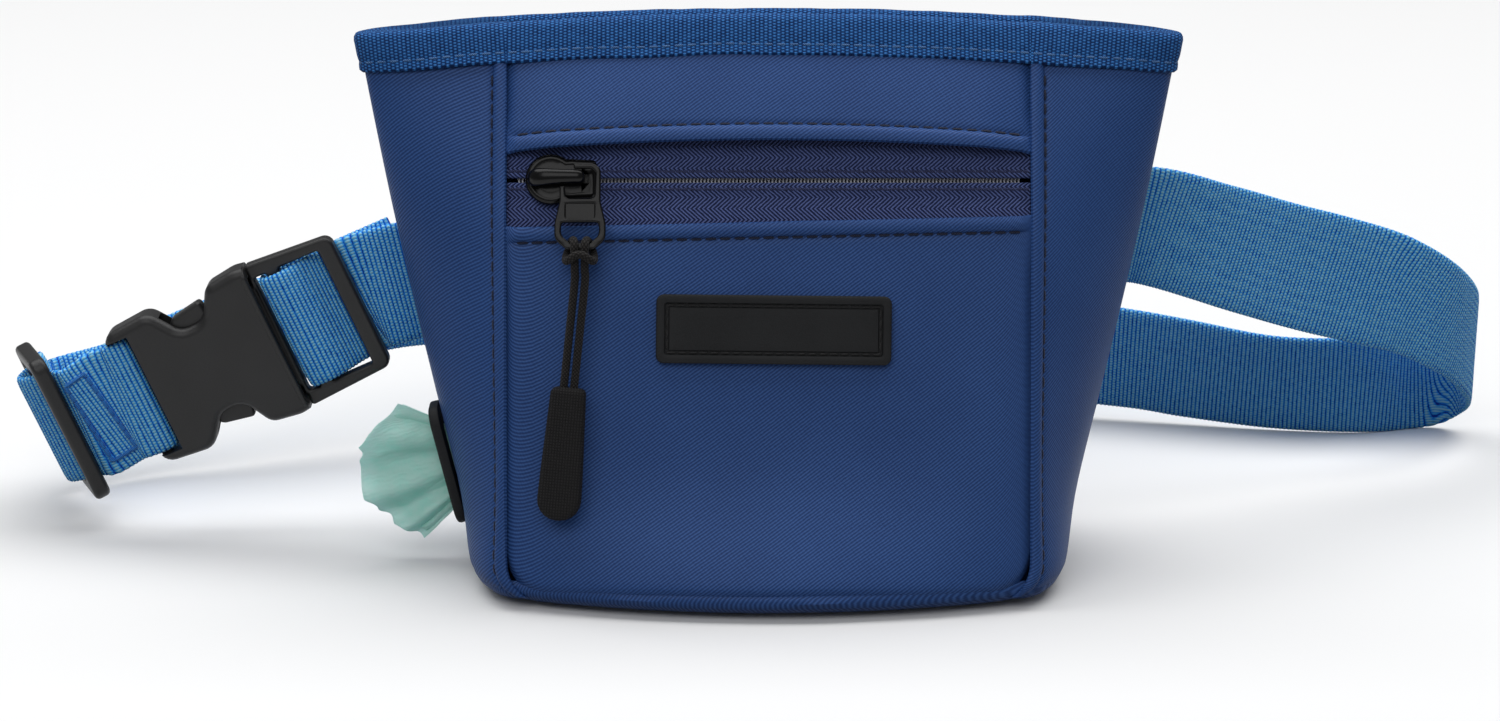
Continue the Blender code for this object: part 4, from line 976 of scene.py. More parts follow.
def rounded(corners, steps=5):
    """Outline through corners (x, y, radius) in mm, each turned into an arc."""
    points = []
    for i, (x, y, radius) in enumerate(corners):
        here = Vector((x, y))
        back = (Vector(corners[i - 1][:2]) - here).normalized()
        ahead = (Vector(corners[(i + 1) % len(corners)][:2]) - here).normalized()
        if radius == 0:
            points.append(here * MM)
            continue
        half = back.angle(ahead) / 2
        centre = here + (back + ahead).normalized() * (radius / sin(half))
        first = here + back * (radius / tan(half)) - centre
        sweep = first.angle_signed(here + ahead * (radius / tan(half)) - centre)
        for k in range(steps + 1):
            turned = first.copy()
            turned.rotate(Matrix.Rotation(-sweep * k / steps, 2))
            points.append((centre + turned) * MM)
    return points


def mirrored(half, across=True):
    """Outline from one half, mirrored in Y or in X."""
    flip = (1, -1) if across else (-1, 1)
    return rounded(half + [(x * flip[0], y * flip[1], r) for x, y, r in reversed(half)])


def box(x0, x1, y0, y1, radius):
    return rounded([(x0, y0, radius), (x1, y0, radius), (x1, y1, radius), (x0, y1, radius)])


def plate(name, loops, thick, bevel, steps=3):
    """Flat plate with rounded edges in the local XY plane, centred on Z = 0: an outline, then its holes."""
    curve = bpy.data.curves.new(name, "CURVE")
    curve.dimensions = "2D"
    curve.fill_mode = "BOTH"
    curve.extrude = (thick / 2 - bevel) * MM
    curve.bevel_depth = bevel * MM
    curve.bevel_resolution = steps
    curve.offset = -bevel * MM
    for hole, loop in enumerate(loops):
        area = sum(a[0] * b[1] - b[0] * a[1] for a, b in zip(loop, loop[1:] + loop[:1]))
        spline = curve.splines.new("POLY")
        spline.points.add(len(loop) - 1)
        spline.use_cyclic_u = True
        for point, place in zip(spline.points, reversed(loop) if (area < 0) != (hole > 0) else loop):
            point.co = (place[0], place[1], 0.0, 1.0)
    holder = bpy.data.objects.new(name, curve)
    mesh = bpy.data.meshes.new_from_object(holder)
    bpy.data.objects.remove(holder)
    bpy.data.curves.remove(curve)
    bm = bmesh.new()
    bm.from_mesh(mesh)
    bmesh.ops.remove_doubles(bm, verts=bm.verts, dist=0.002 * MM)
    bmesh.ops.recalc_face_normals(bm, faces=bm.faces)
    bm.to_mesh(mesh)
    bm.free()
    return mesh


def joined(name, meshes):
    """One mesh from several."""
    bm = bmesh.new()
    for mesh in meshes:
        bm.from_mesh(mesh)
        bpy.data.meshes.remove(mesh)
    made = bpy.data.meshes.new(name)
    bm.to_mesh(made)
    bm.free()
    return made


def carved(name, mesh, cutters):
    """Mesh with other meshes cut out of it."""
    body = put(name, mesh)
    tools = [put(name + "_cut", cutter) for cutter in cutters]
    for tool in tools:
        step = body.modifiers.new("cut", "BOOLEAN")
        step.operation = "DIFFERENCE"
        step.object = tool
        step.solver = "EXACT"
    made = bpy.data.meshes.new_from_object(body.evaluated_get(bpy.context.evaluated_depsgraph_get()))
    made.name = name
    for item in tools + [body]:
        bpy.data.objects.remove(item)
    return made


def block(low, high):
    """Box between two corners in mm."""
    points = [in_mm(*corner) for corner in product(*zip(low, high))]
    faces = [(0, 1, 3, 2), (4, 6, 7, 5), (0, 4, 5, 1), (2, 3, 7, 6), (0, 2, 6, 4), (1, 5, 7, 3)]
    return make_mesh("block", points, faces)


def rect_ring(half_x, half_y, radius, steps=6, sides=12):
    """Rounded rectangle in mm as points that match those of any other such ring."""
    radius = max(radius, 0.05)
    points = []
    for k, (cx, cy) in enumerate(((1, 1), (-1, 1), (-1, -1), (1, -1))):
        centre = Vector((cx * (half_x - radius), cy * (half_y - radius)))
        for i in range(steps + 1):
            turn = (k + i / steps) * pi / 2
            points.append(centre + Vector((cos(turn), sin(turn))) * radius)
        nx, ny = ((-1, 1), (-1, -1), (1, -1), (1, 1))[k]
        far = Vector((nx * (half_x - radius), ny * (half_y - radius)))
        far += Vector((cos((k + 1) * pi / 2), sin((k + 1) * pi / 2))) * radius
        start = points[-1].copy()
        points += [start.lerp(far, i / sides) for i in range(1, sides)]
    return points


def ring_mesh(name, rings, place, closed=False):
    """Mesh through rings of points; place turns (x, y, height) in mm into a point. Ends are capped unless closed."""
    points = [place(p[0], p[1], height) for ring, height in rings for p in ring]
    return make_mesh(name, points, ring_faces(len(rings), len(rings[0][0]), closed))


def smooth_path(points, per_span):
    """Catmull-Rom curve through points."""
    points = np.array(points, float)
    ends = np.concatenate([[points[0] * 2 - points[1]], points, [points[-1] * 2 - points[-2]]])
    path = []
    for a, b, c, d in zip(ends, ends[1:], ends[2:], ends[3:]):
        for t in np.arange(per_span) / per_span:
            bend = (2 * a - 5 * b + 4 * c - d) * t ** 2 + (3 * b - a - 3 * c + d) * t ** 3
            path.append((2 * b + (c - a) * t + bend) / 2)
    return np.array(path + [points[-1]])


# Zip, in its own frame and in mm

TAPE_LEVEL = -1.5
TAPE_HALF = 51.2
TAPE_ROWS = (0.42, 0.55, 0.75, 1.0, 1.35, 1.6, 1.9, 2.3, 3.0, 4.5, 6.5, 9.0, 12.2)
CHAIN_Y = 1.75
CHAIN_HALF = 51
COIL_HALF = 49
COIL_PITCH = 0.7
COIL_LEVEL = -2.6
COIL_R = 0.95
SLIDER_FRAME = front_frame(-40.6 * MM, ZIP_HEIGHT, 0)
PULLER_FRAME = front_frame(-36.7 * MM, ZIP_HEIGHT, 3.8 * MM)
TAG_FRAME = front_frame(-40 * MM, 30.6 * MM, 4.4 * MM, radians(-5))


def build_zip():
    base = front_frame(0, ZIP_HEIGHT, 0)
    for name, side in (("upper", 1), ("lower", -1)):
        grid = []
        for y in TAPE_ROWS[::side]:
            edge = 0.12 * dent(y, CHAIN_Y, 0.2) + 0.35 * dent(y, TAPE_ROWS[0], 0.12)
            lift = TAPE_LEVEL + 0.5 * dome(y, 0.9, 1.9) - edge
            row = []
            for x in np.linspace(-TAPE_HALF, TAPE_HALF, 62):
                soft = 0.12 * ripple(x, y, 0, 9, side) * fade(y, 4)
                row.append(base @ in_mm(x, side * y, lift + soft))
            grid.append(row)
        sewn("zip_tape_" + name + "_cloth", grid, 0.5 * MM, ZIP_TAPE, "front_wall", "zip_tape_" + name)
        # Coil heads under the tapes, seen through the slit; their pale colour is a painted glint.
        coils = []
        for x in np.arange(-COIL_HALF, COIL_HALF + 0.4, COIL_PITCH):
            loop = [base @ in_mm(x + 0.18 * sin(t), side * COIL_R * (1 + cos(t)), COIL_LEVEL + 0.48 * sin(t))
                    for t in np.linspace(0, 2 * pi, 11)]
            coils.append(tube(loop, 0.17 * MM, base.col[0][:3], 5))
        stitched("zip_coil_" + name, coils, GLINT_PAINTED_NYLON, "front_wall", "zip_teeth_" + name)
        path = [base @ in_mm(x, side * CHAIN_Y, TAPE_LEVEL + 0.38) for x in np.linspace(-CHAIN_HALF, CHAIN_HALF, 40)]
        chain = stitch_row(path, base.col[2][:3], 1.3 * MM, 0.85, 0.3 * MM)
        stitched("zip_chain_" + name, chain, TAPE_THREAD, "front_wall")


def slider_outline(inset):
    """Teardrop of the slider in mm: a round nose that narrows to a square tail."""
    nose = [(-2.0 + 5.0 * cos(t), 5.0 * sin(t)) for t in np.linspace(radians(52), radians(308), 40)]
    lower = [(2.1, -4.05), (3.2, -3.95), (4.6, -3.9), (6.0, -3.85), (6.7, -3.6), (7.0, -2.9)]
    line = np.array(nose + lower + [(7.0, 0.0)] + [(x, -y) for x, y in reversed(lower)])
    return moved_in(line, inset)


def build_slider():
    top = [(0.6, -0.85), (0.1, -0.8), (0.0, -0.6), (0.0, 0.0), (0.15, 0.35), (0.45, 0.6), (0.85, 0.72), (1.15, 0.66),
           (1.35, 0.6), (2.2, 0.66), (3.0, 0.7)]
    under = [(0.5, -4.1), (0.1, -4.0), (0.0, -3.8), (0.0, -3.5), (0.2, -3.3)]
    parts = [ring_mesh("slider_shell", [(slider_outline(inset), height) for inset, height in levels], in_mm)
             for levels in (top, under)]
    post = plate("slider_post", [box(-5.6, -2.8, -0.28, 0.28, 0.2)], 4.0, 0.05, 1)
    post.transform(Matrix.Translation(in_mm(0, 0, -1.8)))
    parts += [post, crown_mesh()]
    moulded("slider_body", joined("slider_body", parts), SLIDER_FRAME, METAL, "zip_slider", "zip_slider")


def crown_mesh():
    """Glossy tongue that rises from the nose and reaches over to the puller's ring."""
    stations = [(-6.0, 0.4, 0.5, 0.8), (-5.7, 1.4, 0.9, 1.5), (-4.9, 2.5, 1.0, 1.75), (-3.5, 3.3, 0.95, 1.7),
                (-1.6, 3.75, 0.9, 1.5), (0.6, 3.9, 0.85, 1.4), (2.6, 3.9, 0.85, 1.35), (3.8, 3.8, 0.8, 1.3),
                (4.4, 3.6, 0.5, 0.9), (4.6, 3.55, 0.15, 0.3)]
    line = smooth_path(stations, 4)
    path = [(x * MM, 0, lift * MM) for x, lift in line[:, :2]]
    return make_mesh("slider_crown", *tube(path, line[:, 2:] * MM, (0.001, 0, 1), 14))


def build_puller():
    """Puller: an open ring round the crown, a sunk panel and an eye for the cord."""
    outline = rounded([(-1.3, 2.4, 0.3), (2.6, 2.5, 1.6), (4.0, 1.5, 1.3), (4.0, -5.0, 5.0), (5.0, -9.4, 4.0),
                       (5.0, -12.5, 2.6), (2.4, -14.7, 2.4), (-2.4, -14.7, 2.4), (-5.0, -12.5, 2.6),
                       (-5.0, -9.4, 4.0), (-4.0, -5.0, 5.0), (-4.0, -2.0, 0.3), (-3.0, -2.0, 0.3), (-2.8, -4.5, 0.9),
                       (2.8, -4.5, 0.9), (3.0, 0.6, 0.9), (2.2, 1.5, 0.8), (-1.3, 1.5, 0.3)])
    eye = mirrored([(-3.5, -9.2, 0.4), (-3.9, -11.6, 2.2), (-1.9, -13.2, 1.5)], False)
    panel = box(-2.75, 2.75, -8.3, -5.5, 0.4)
    sunk = box(-3.0, 3.0, -8.6, -5.2, 0.3)
    plates = [plate("puller", [outline, eye, panel], 1.4, 0.35, 3), plate("puller_panel", [sunk], 0.8, 0.1, 1)]
    moulded("puller_body", joined("puller_body", plates), PULLER_FRAME, METAL, "zip_pull", "zip_puller")


CORD_D = 1.6 * MM


def build_tag():
    half = [(4.4, -13, 4.0), (4.15, -4, 14), (3.4, 13, 1.3)]
    mesh = plate("tag_body", [mirrored(half, False)], 4.0, 1.1, 4)
    add_weave(mesh, [point.co.xy for point in mesh.vertices])
    moulded("tag_body", mesh, TAG_FRAME, GRIP, "pull_tag", "grip_tag")
    build_cord()


def cord_route():
    """Cord from the tag, round the puller's lower bar in a cow hitch, and back into the tag."""
    knot = [(-1.0, -21.0, 0.2), (-0.98, -18.6, 0.6), (-0.98, -16.6, 1.0), (-1.0, -14.8, 1.7), (-1.05, -13.4, 1.65),
            (-1.3, -12.6, 0.2), (-1.8, -12.9, -1.5), (-2.35, -14.4, -1.8), (-2.75, -15.9, -0.8), (-2.6, -16.8, 0.8),
            (-1.8, -16.6, 2.2), (-0.8, -16.0, 2.8)]
    knot += [(0, -15.85, 2.85)] + [(-x, y, z) for x, y, z in reversed(knot)]
    upper = [PULLER_FRAME @ in_mm(*place) for place in knot]
    left, right = (TAG_FRAME @ in_mm(x, 12.6, 0) for x in (-1.0, 1.0))
    near, far = upper[0].lerp(left, 0.5), upper[-1].lerp(right, 0.5)
    return smooth_path([left, near] + upper + [far, right], 8)


def build_cord():
    route = cord_route()
    sides = 12
    right = PULLER_FRAME.to_3x3() @ Vector((1, 0, 0.02))
    normals = [right]
    for a, b in zip(route, route[1:]):
        along = Vector(b - a).normalized()
        normals.append((normals[-1] - along * normals[-1].dot(along)).normalized())
    points, faces = tube(route, CORD_D / 2, normals, sides)
    places = [(k * pi * CORD_D / sides, s) for s in run_along(route) for k in range(sides)]
    mesh = make_mesh("cord_braid", points, faces, places)
    made = piece("cord_braid", mesh, CORD, "pull_tag", "pull_cord")
    path_length(route)


# Rubber patch, in mm where a size is not multiplied by MM

LABEL_X = 1.0
LABEL_HEIGHT = 53.8 * MM
LABEL_HALF = (23.0, 6.8)
LABEL_TURN = radians(-0.6)
LABEL_GROOVE = 2.12


def on_pocket(x, y, height):
    """Point on the patch, in mm from its middle, which bends with the cloth behind it."""
    across = LABEL_X + x * cos(LABEL_TURN) - y * sin(LABEL_TURN)
    z = LABEL_HEIGHT + (x * sin(LABEL_TURN) + y * cos(LABEL_TURN)) * 0.955 * MM
    return front_point(across * MM, z, 0.45 * MM + height * MM)


def build_label():
    levels = [(0.6, -0.4), (0.1, -0.3), (0.0, 0.3), (0.0, 0.95), (0.12, 1.2), (0.4, 1.32), (1.3, 1.32), (1.6, 1.2),
              (1.72, 0.85), (1.8, 0.62), (2.45, 0.62), (2.52, 0.8), (2.65, 0.95), (3.2, 1.0), (4.4, 1.0), (5.6, 1.0),
              (6.5, 1.0)]
    rings = []
    for inset, height in levels:
        rings.append((rect_ring(LABEL_HALF[0] - inset, LABEL_HALF[1] - inset, 1.5 - inset * 0.6, 4, 24), height))
    piece("patch_body", ring_mesh("patch_body", rings, on_pocket), RUBBER, "front_wall", "label_patch")
    groove = rect_ring(LABEL_HALF[0] - LABEL_GROOVE, LABEL_HALF[1] - LABEL_GROOVE, 0.3, 2, 30)
    path = [on_pocket(*place, 0.72) for place in groove + groove[:1]]
    rows = stitch_row(path, front_out(LABEL_HEIGHT), 2.1 * MM, 0.8, 0.25 * MM)
    stitched("patch_stitches", rows, CORD_THREAD, "front_wall")


# Belt and buckle, in mm where a size is not multiplied by MM

WEB_WIDTH = 25.0
WEB_THICK = 1.5
SCALLOP = 0.16
RIB_RISE = 0.14
WEB_HALF = WEB_WIDTH / 2
WEB_SLOT = WEB_HALF + 0.5
SLEEVE_HALF = 40.0
SLEEVE_HEIGHT = 58.4 * MM
BELT_SLANT = 0.066
BUCKLE_TILT = radians(24.1)
BUCKLE_UP = Vector((-sin(BUCKLE_TILT), 0, cos(BUCKLE_TILT)))
BUCKLE_LENGTH = 50.9
BUCKLE_MOUTH = 32.6
MALE_NECK = BUCKLE_MOUTH + 0.3
MALE_THICK = 2.6
PRONG_MIDDLE = WEB_HALF - 4.1
BAR = 2.8
END_BAR = 2.2
END_SLOT = 3.0
LADDER_SLOT = 2.6
MALE_SHOWN = 3.4
TRI_LENGTH = 20.0
TRI_THICK = 2.6
TRI_SHOWN = 3.4
TRI_ALONG = Vector((-0.33, 0.94, -0.06)).normalized()
TRI_UP = (BUCKLE_UP - TRI_ALONG * BUCKLE_UP.dot(TRI_ALONG)).normalized()
BELT_BACK = back_y(SLEEVE_HEIGHT)

# Frame of the buckle: local X from the female end to the male end, Y up its width, Z to the front
BUCKLE_PLACE = Vector((-PANEL_HALF - 78.5 * MM, BELT_BACK - 1.84 * MM, 28.9 * MM))
BUCKLE_FRAME = frame_at(BUCKLE_PLACE, (cos(BUCKLE_TILT), 0, sin(BUCKLE_TILT)), BUCKLE_UP, (0, -1, 0))
TRI_FRAME = frame_at(BUCKLE_PLACE + in_mm(-16.4, 8.2, -7.4), TRI_ALONG, TRI_UP, TRI_ALONG.cross(TRI_UP))


def in_buckle(u, n):
    return (*(BUCKLE_FRAME @ in_mm(u, 0, n)), *BUCKLE_UP, 1)


def in_tri(along, out):
    return (*(TRI_FRAME @ in_mm(along, 0, out)), *TRI_FRAME.col[1][:3], 1)


def ribbon_line(stations):
    """Distance run, centre, half width, way along and normal at even steps along a length of webbing. A station is
    a centre, a direction across and how square to the run the webbing is cut there, from 0 to 1."""
    line = smooth_path(stations, 24)
    total = path_length(line)
    places = np.linspace(0, total, int(total / (RIB * MM / 4)))
    line = sampled(line, places)
    centres, across = line[:, :3], line[:, 3:6]
    along = unit(np.gradient(centres, axis=0))
    half = across + (square_to(across, along) - across) * line[:, 6:]
    return places, centres, half, along, unit(np.cross(along, half))


def ribbon(name, stations):
    """Webbing along stations, with cross ribs and scalloped edges."""
    places, centres, half, along, normal = ribbon_line(stations)
    skew = np.sum(half * along, axis=1)
    wide = np.linalg.norm(half - along * skew[:, None], axis=1)
    shares = (-1.0, -0.96, -0.86, -0.5, 0.0, 0.5, 0.86, 0.96, 1.0)
    rims = (0.35, 0.8, 1.0, 1.0, 1.0, 1.0, 1.0, 0.8, 0.35)
    profile = list(zip(shares, rims))
    profile += [(share, -rim) for share, rim in reversed(profile)]
    points = []
    coords = []
    for share, rim in profile:
        down = places + skew * share * WEB_HALF * MM
        rib = np.abs(np.sin(down / (RIB * MM) * pi))[:, None]
        reach = share * (WEB_HALF - SCALLOP + SCALLOP * rib * (abs(share) > 0.9)) * MM
        thick = (WEB_THICK / 2 - RIB_RISE + RIB_RISE * rib) * rim * MM
        points.append(centres + half * reach + normal * thick)
        coords.append(np.stack([down, wide * share * WEB_HALF * MM], axis=1))
    points = np.array(points).transpose(1, 0, 2).reshape(-1, 3)
    coords = np.array(coords).transpose(1, 0, 2).reshape(-1, 2)
    faces = [face[::-1] for face in ring_faces(len(places), len(profile))]
    return make_mesh(name, points, faces, coords)


def ladder_slots():
    first = MALE_NECK + 0.9
    bar = first + LADDER_SLOT
    return ((first, bar), (bar + BAR, BUCKLE_LENGTH - BAR))


def ladder_path():
    """Belt through the male's ladder: a tail behind, round the first bar and out below the last."""
    first, second = ladder_slots()
    wrap = sum(first) / 2
    cross = second[1] - LADDER_SLOT
    lift = MALE_THICK / 2 + 0.5 + WEB_THICK / 2
    tail = lift + WEB_THICK + 0.6
    return [(BUCKLE_LENGTH + 12, -tail), (cross, -tail), (first[1] + 0.6, -tail * 0.96), (wrap + 0.2, -lift * 1.1),
            (wrap, 0), (wrap + 0.5, lift * 0.85), (first[1] + BAR / 2, lift * 1.1), (cross - 6, lift * 1.02),
            (cross - 3, lift * 0.42), (cross + 0.2, -lift * 0.62), (cross + 3, -lift * 1.05),
            (BUCKLE_LENGTH - BAR / 2, -lift * 1.05), (BUCKLE_LENGTH + 4, -lift)]


# The belt's turn at the right: how far out, behind and up, how far the webbing leans, and how tall it stands
RIGHT_TURN = [(45.1, 16.5, 55.5, 0, 1.08), (58.7, 23.5, 49.9, 0, 1.09), (68.8, 27.5, 46.4, -0.04, 1.1),
              (81.1, 31.5, 42.2, -0.08, 1.08), (88.6, 35, 38.1, -0.11, 1.08), (94.9, 40, 33.4, -0.15, 1.07),
              (99.9, 47.5, 27.7, -0.15, 1.07), (102.9, 56.5, 22.3, -0.13, 1.06), (102.9, 63.5, 18.2, -0.11, 1.05),
              (99.2, 67.5, 14.5, -0.11, 1.05), (92.4, 67, 13.0, -0.165, 1.04), (79.9, 62.9, 12.1, -0.237, 0.95),
              (60.8, 64.2, 12.2, -0.29, 0.93), (41.9, 69.3, 13.9, -0.226, 0.965), (28.1, 73.3, 15.2, -0.165, 0.963)]


def beside(side, out, behind, z, *across):
    """Station of the belt beside or behind the pouch, and the way across the webbing there."""
    return (side * (PANEL_HALF + out * MM), BELT_BACK + behind * MM, z * MM, *across, 1)


def standing(out, behind, z, lean, tall):
    """Station of the turn at the right, where the webbing stands upright however steeply it runs down."""
    return (PANEL_HALF + out * MM, BELT_BACK + behind * MM, z * MM, 0, lean, tall, 0)


# The belt meets the strap end low behind the tri-glide.
STRAP_JOIN = beside(-1, 96.6, 26.8, 16.4, -0.36, 0, 0.93)


def belt_stations():
    seat = 0.3 + WEB_THICK / 2 + 0.5
    lean = (0, slope(back_y, SLEEVE_HEIGHT), 1, 1)
    stations = [in_buckle(u, n) for u, n in ladder_path()]
    stations.append(beside(-1, 12.5, 2.4, 54.6, -0.22, -0.1, 0.97))
    for x in (-SLEEVE_HALF * MM, 0, SLEEVE_HALF * MM):
        stations.append((*back_point(x, SLEEVE_HEIGHT + BELT_SLANT * x, seat * MM), *lean))
    stations += [beside(1, 8.5, 2.4, 63.2, 0.1, -0.1, 1), beside(1, 25.5, 6.8, 63.2, 0.23, 0, 0.97)]
    stations += [standing(*place) for place in RIGHT_TURN]
    stations += [beside(1, -5, 81.5, 17.2, 0, -0.06, 1), beside(1, -31.5, 83.5, 20, 0, 0, 1),
                 beside(-1, -11.5, 75.2, 28.5, 0, 0, 1), beside(-1, 29.5, 60, 34, -0.1, 0, 1),
                 beside(-1, 66, 44, 24.9, -0.22, 0, 0.97), beside(-1, 84, 36.2, 18.2, -0.34, 0, 0.94),
                 beside(-1, 95.0, 29.4, 16.4, -0.355, 0, 0.932)]
    return stations + [STRAP_JOIN]


def end_stations():
    """Strap end: sewn back on itself round the female's bar, then woven through the tri-glide."""
    bar = END_BAR / 2
    loop = bar + 0.3 + WEB_THICK / 2
    layer = WEB_THICK / 2 + 0.2
    front = [(bar + loop, loop * 0.72), (bar, loop * 1.04), (-bar, loop * 0.82), (-2 * END_BAR, layer * 1.05)]
    turns = [(-7, -layer)] + [(u, -n) for u, n in reversed(front)] + [(bar + loop * 1.2, 0)] + front
    outer = TRI_LENGTH / 2 - BAR / 2
    slot = outer / 2
    lift = TRI_THICK / 2 + 0.5 + WEB_THICK / 2
    weave = [(-outer - 2.2, lift * 1.75), (-outer, lift * 1.08), (-slot - 1.1, lift * 0.4),
             (-slot + 1.1, -lift * 0.9), (0, -lift * 1.6), (slot - 1.1, -lift * 0.8), (slot + 1.1, lift * 0.5),
             (outer, lift)]
    return [in_buckle(u, n) for u, n in turns] + [in_tri(along, out) for along, out in weave] + [
        beside(-1, 98.2, 24.2, 16.8, -0.37, 0, 0.927), STRAP_JOIN]


def box_stitch():
    """Square of thick thread that holds the sewn strap end, close to the tri-glide."""
    places, centres, half, _, normal = ribbon_line(end_stations())
    near = np.array(in_tri(BAR / 2 - TRI_LENGTH / 2 - 2.2, TRI_THICK + 1.5)[:3])
    start = places[np.argmin(np.linalg.norm(centres - near, axis=1))]
    long, wide = 5.4, 9.3
    corners = [(0, wide), (0, -wide), (-long, -wide), (-long, wide), (0, wide)]
    path = []
    normals = []
    for (s0, v0), (s1, v1) in zip(corners, corners[1:]):
        for t in np.linspace(0, 1, 16, endpoint=False):
            k = np.argmin(np.abs(places - start - (s0 + (s1 - s0) * t) * MM))
            out = normal[k] * (-1 if normal[k][1] > 0 else 1)
            path.append(centres[k] + half[k] * (v0 + (v1 - v0) * t) * MM + out * (WEB_THICK / 2 + 0.1) * MM)
            normals.append(out)
    return stitch_row(path + path[:1], normals + normals[:1], 1.9 * MM, 0.9, 0.5 * MM)


# Where the belt's run behind the pouch would stay still, and where it would wholly follow the buckle
BACK_RUN_START = (-85 * MM, 79 * MM, 30 * MM)
BACK_RUN_END = (-106.7 * MM, 96.4 * MM, 23.5 * MM)


def build_belt():
    bend = ("pouch", "buckle_female", BACK_RUN_START, BACK_RUN_END)
    piece("waist_strap", ribbon("waist_strap", belt_stations()), WEBBING, bend, "belt_webbing", sharp=60)
    piece("strap_end", ribbon("strap_end", end_stations()), WEBBING, "buckle_female", "belt_end", sharp=60)
    stitched("strap_end_stitches", box_stitch(), BRIGHT_THREAD, "buckle_female")
    build_female()
    build_male()
    half = TRI_LENGTH / 2
    loops = [box(-half - 0.6, half, -16.5, 16.5, 3)]
    for low, high in ((-half + BAR, -BAR / 2), (BAR / 2, half - BAR)):
        loops.append(box(low, high, -WEB_SLOT, WEB_SLOT, 0.7))
    mesh = plate("glide_body", loops, TRI_SHOWN, 1.0, 5)
    moulded("glide_body", mesh, TRI_FRAME, PLASTIC, "buckle_female", "tri_glide")


def build_female():
    mouth = WEB_HALF + 4.1
    waist = WEB_HALF - 3.0
    lobe = WEB_HALF + 3.2
    outline = mirrored([(BUCKLE_MOUTH + 6, mouth - 1.4, 2.5), (BUCKLE_MOUTH - 2, mouth, 6),
                        (BUCKLE_MOUTH - 8.5, mouth - 0.9, 3), (BUCKLE_MOUTH - 12, waist, 3.4),
                        (BUCKLE_MOUTH - 17, waist, 3.4), (11, lobe, 3.4), (0, lobe - 1, 3)])
    body = plate("female_body", [outline], 8.0, 1.9, 6)
    half = PRONG_MIDDLE + 5 + 0.25
    depth = END_BAR + END_SLOT + 2.4
    hollow = mirrored([(BUCKLE_MOUTH + 12, half, 0), (depth + 3, half, 1), (depth, half / 2, 1)])
    cuts = [plate("female_cavity", [hollow], 4.4, 0.0, 1),
            block((END_BAR, -WEB_SLOT, -8), (END_BAR + END_SLOT, WEB_SLOT, 8)),
            block((BUCKLE_MOUTH, -2 * WEB_HALF, -8), (BUCKLE_MOUTH + 10, 2 * WEB_HALF, 8))]
    for side in (1, -1):
        low, high = sorted((side * END_BAR / 2, side * 8))
        cuts.append(block((-BAR, -WEB_SLOT, low), (END_BAR + END_SLOT / 2, WEB_SLOT, high)))
    mesh = carved("female_body", body, cuts)
    loops = [box(-4.25, 4.25, 0.6 - mouth, mouth - 0.6, 2.0), box(-2.4, 2.4, -half, half, 0.8)]
    rim = plate("female_rim", loops, 1.1, 0.35, 3)
    rim.transform(Matrix.Translation((BUCKLE_MOUTH * MM - 0.4 * MM, 0, 0)) @ Matrix.Rotation(pi / 2, 4, "Y"))
    mesh = joined("female_body", [mesh, rim])
    moulded("female_body", mesh, BUCKLE_FRAME, PLASTIC, "buckle_female", "buckle_female")


def build_male():
    half = WEB_HALF + 1.9
    root = MALE_NECK - 2.4
    outline = mirrored([(BUCKLE_LENGTH + 0.7, half + 0.5, 2), (MALE_NECK, half + 1.8, 0.8),
                        (MALE_NECK, half - 3, 0.6), (root, half - 3, 0.6), (root, 3.5, 0.6), (root - 17.9, 2.5, 1)])
    slots = [box(low, high, -WEB_SLOT, WEB_SLOT, 0.6) for low, high in ladder_slots()]
    mesh = plate("ladder_body", [outline] + slots, MALE_SHOWN, 0.7, 5)
    moulded("ladder_body", mesh, BUCKLE_FRAME, PLASTIC, "pouch", "buckle_male")
    start = root - 0.3
    tip = start - 17.6
    catch = start - 8.8
    arm = [(start, -1.8, 0.3), (start, 2, 0.3), (start - 5, 1.6, 3), (catch + 0.5, 2.2, 1), (catch, 5, 0.8),
           (tip + 2, 3.8, 2.2), (tip - 1, 0, 1.2), (tip + 3, -1.2, 1), (catch + 1, -0.2, 3)]
    for name, side in (("prong_upper", 1), ("prong_lower", -1)):
        outline = rounded([(u, side * (PRONG_MIDDLE + v), r) for u, v, r in arm])
        mesh = plate(name + "_arm", [outline], 3.6, 0.7, 3)
        moulded(name + "_arm", mesh, BUCKLE_FRAME, PLASTIC, name, name)


def build_sleeve():
    """Band of cloth on the back that the belt runs through, sewn along its top and foot."""
    room = 3.1
    half = WEB_HALF + 4
    upper = [(2.5, room), (7, room), (11.5, room), (half - 2.2, room * 0.97), (half - 1.2, room * 0.72),
             (half - 0.5, room * 0.35), (half, 0.42), (half + 0.8, 0.3), (half + 2.2, 0.18), (half + 3.2, 0.3),
             (half + 4, 0.3)]
    levels = [(-z, lift) for z, lift in reversed(upper)] + [(0, room)] + upper
    xs = np.linspace(SLEEVE_HALF, -SLEEVE_HALF, 40)
    grid = []
    for z, lift in levels:
        row = []
        for x in xs:
            soft = 0.25 * ripple(x, z, 0, 14, 3.0) * fade(lift, room)
            row.append(back_point(x * MM, SLEEVE_HEIGHT + z * MM, (lift + soft + 1.0) * MM))
        grid.append(row)
    sewn("sleeve_cloth", grid, FABRIC, TWILL, "pouch", "belt_sleeve")
    rows = []
    for side in (1, -1):
        z = SLEEVE_HEIGHT + side * (half + 2.2) * MM
        path = [back_point(x * MM, z, 1.1 * MM) for x in xs[1:-1]]
        rows += stitch_row(path, back_out(z))
    stitched("sleeve_stitches", rows, DARK_THREAD, "pouch")


# Bag dispenser, in mm where a size is not multiplied by MM

SLOT_HEIGHT = 21.5 * MM
ROLL_X = -36 * MM
ROLL_Y = 3.439 * MM
ROLL_FOOT = 1.7
ROLL_LENGTH = 52.0
ROLL_R = 12.5


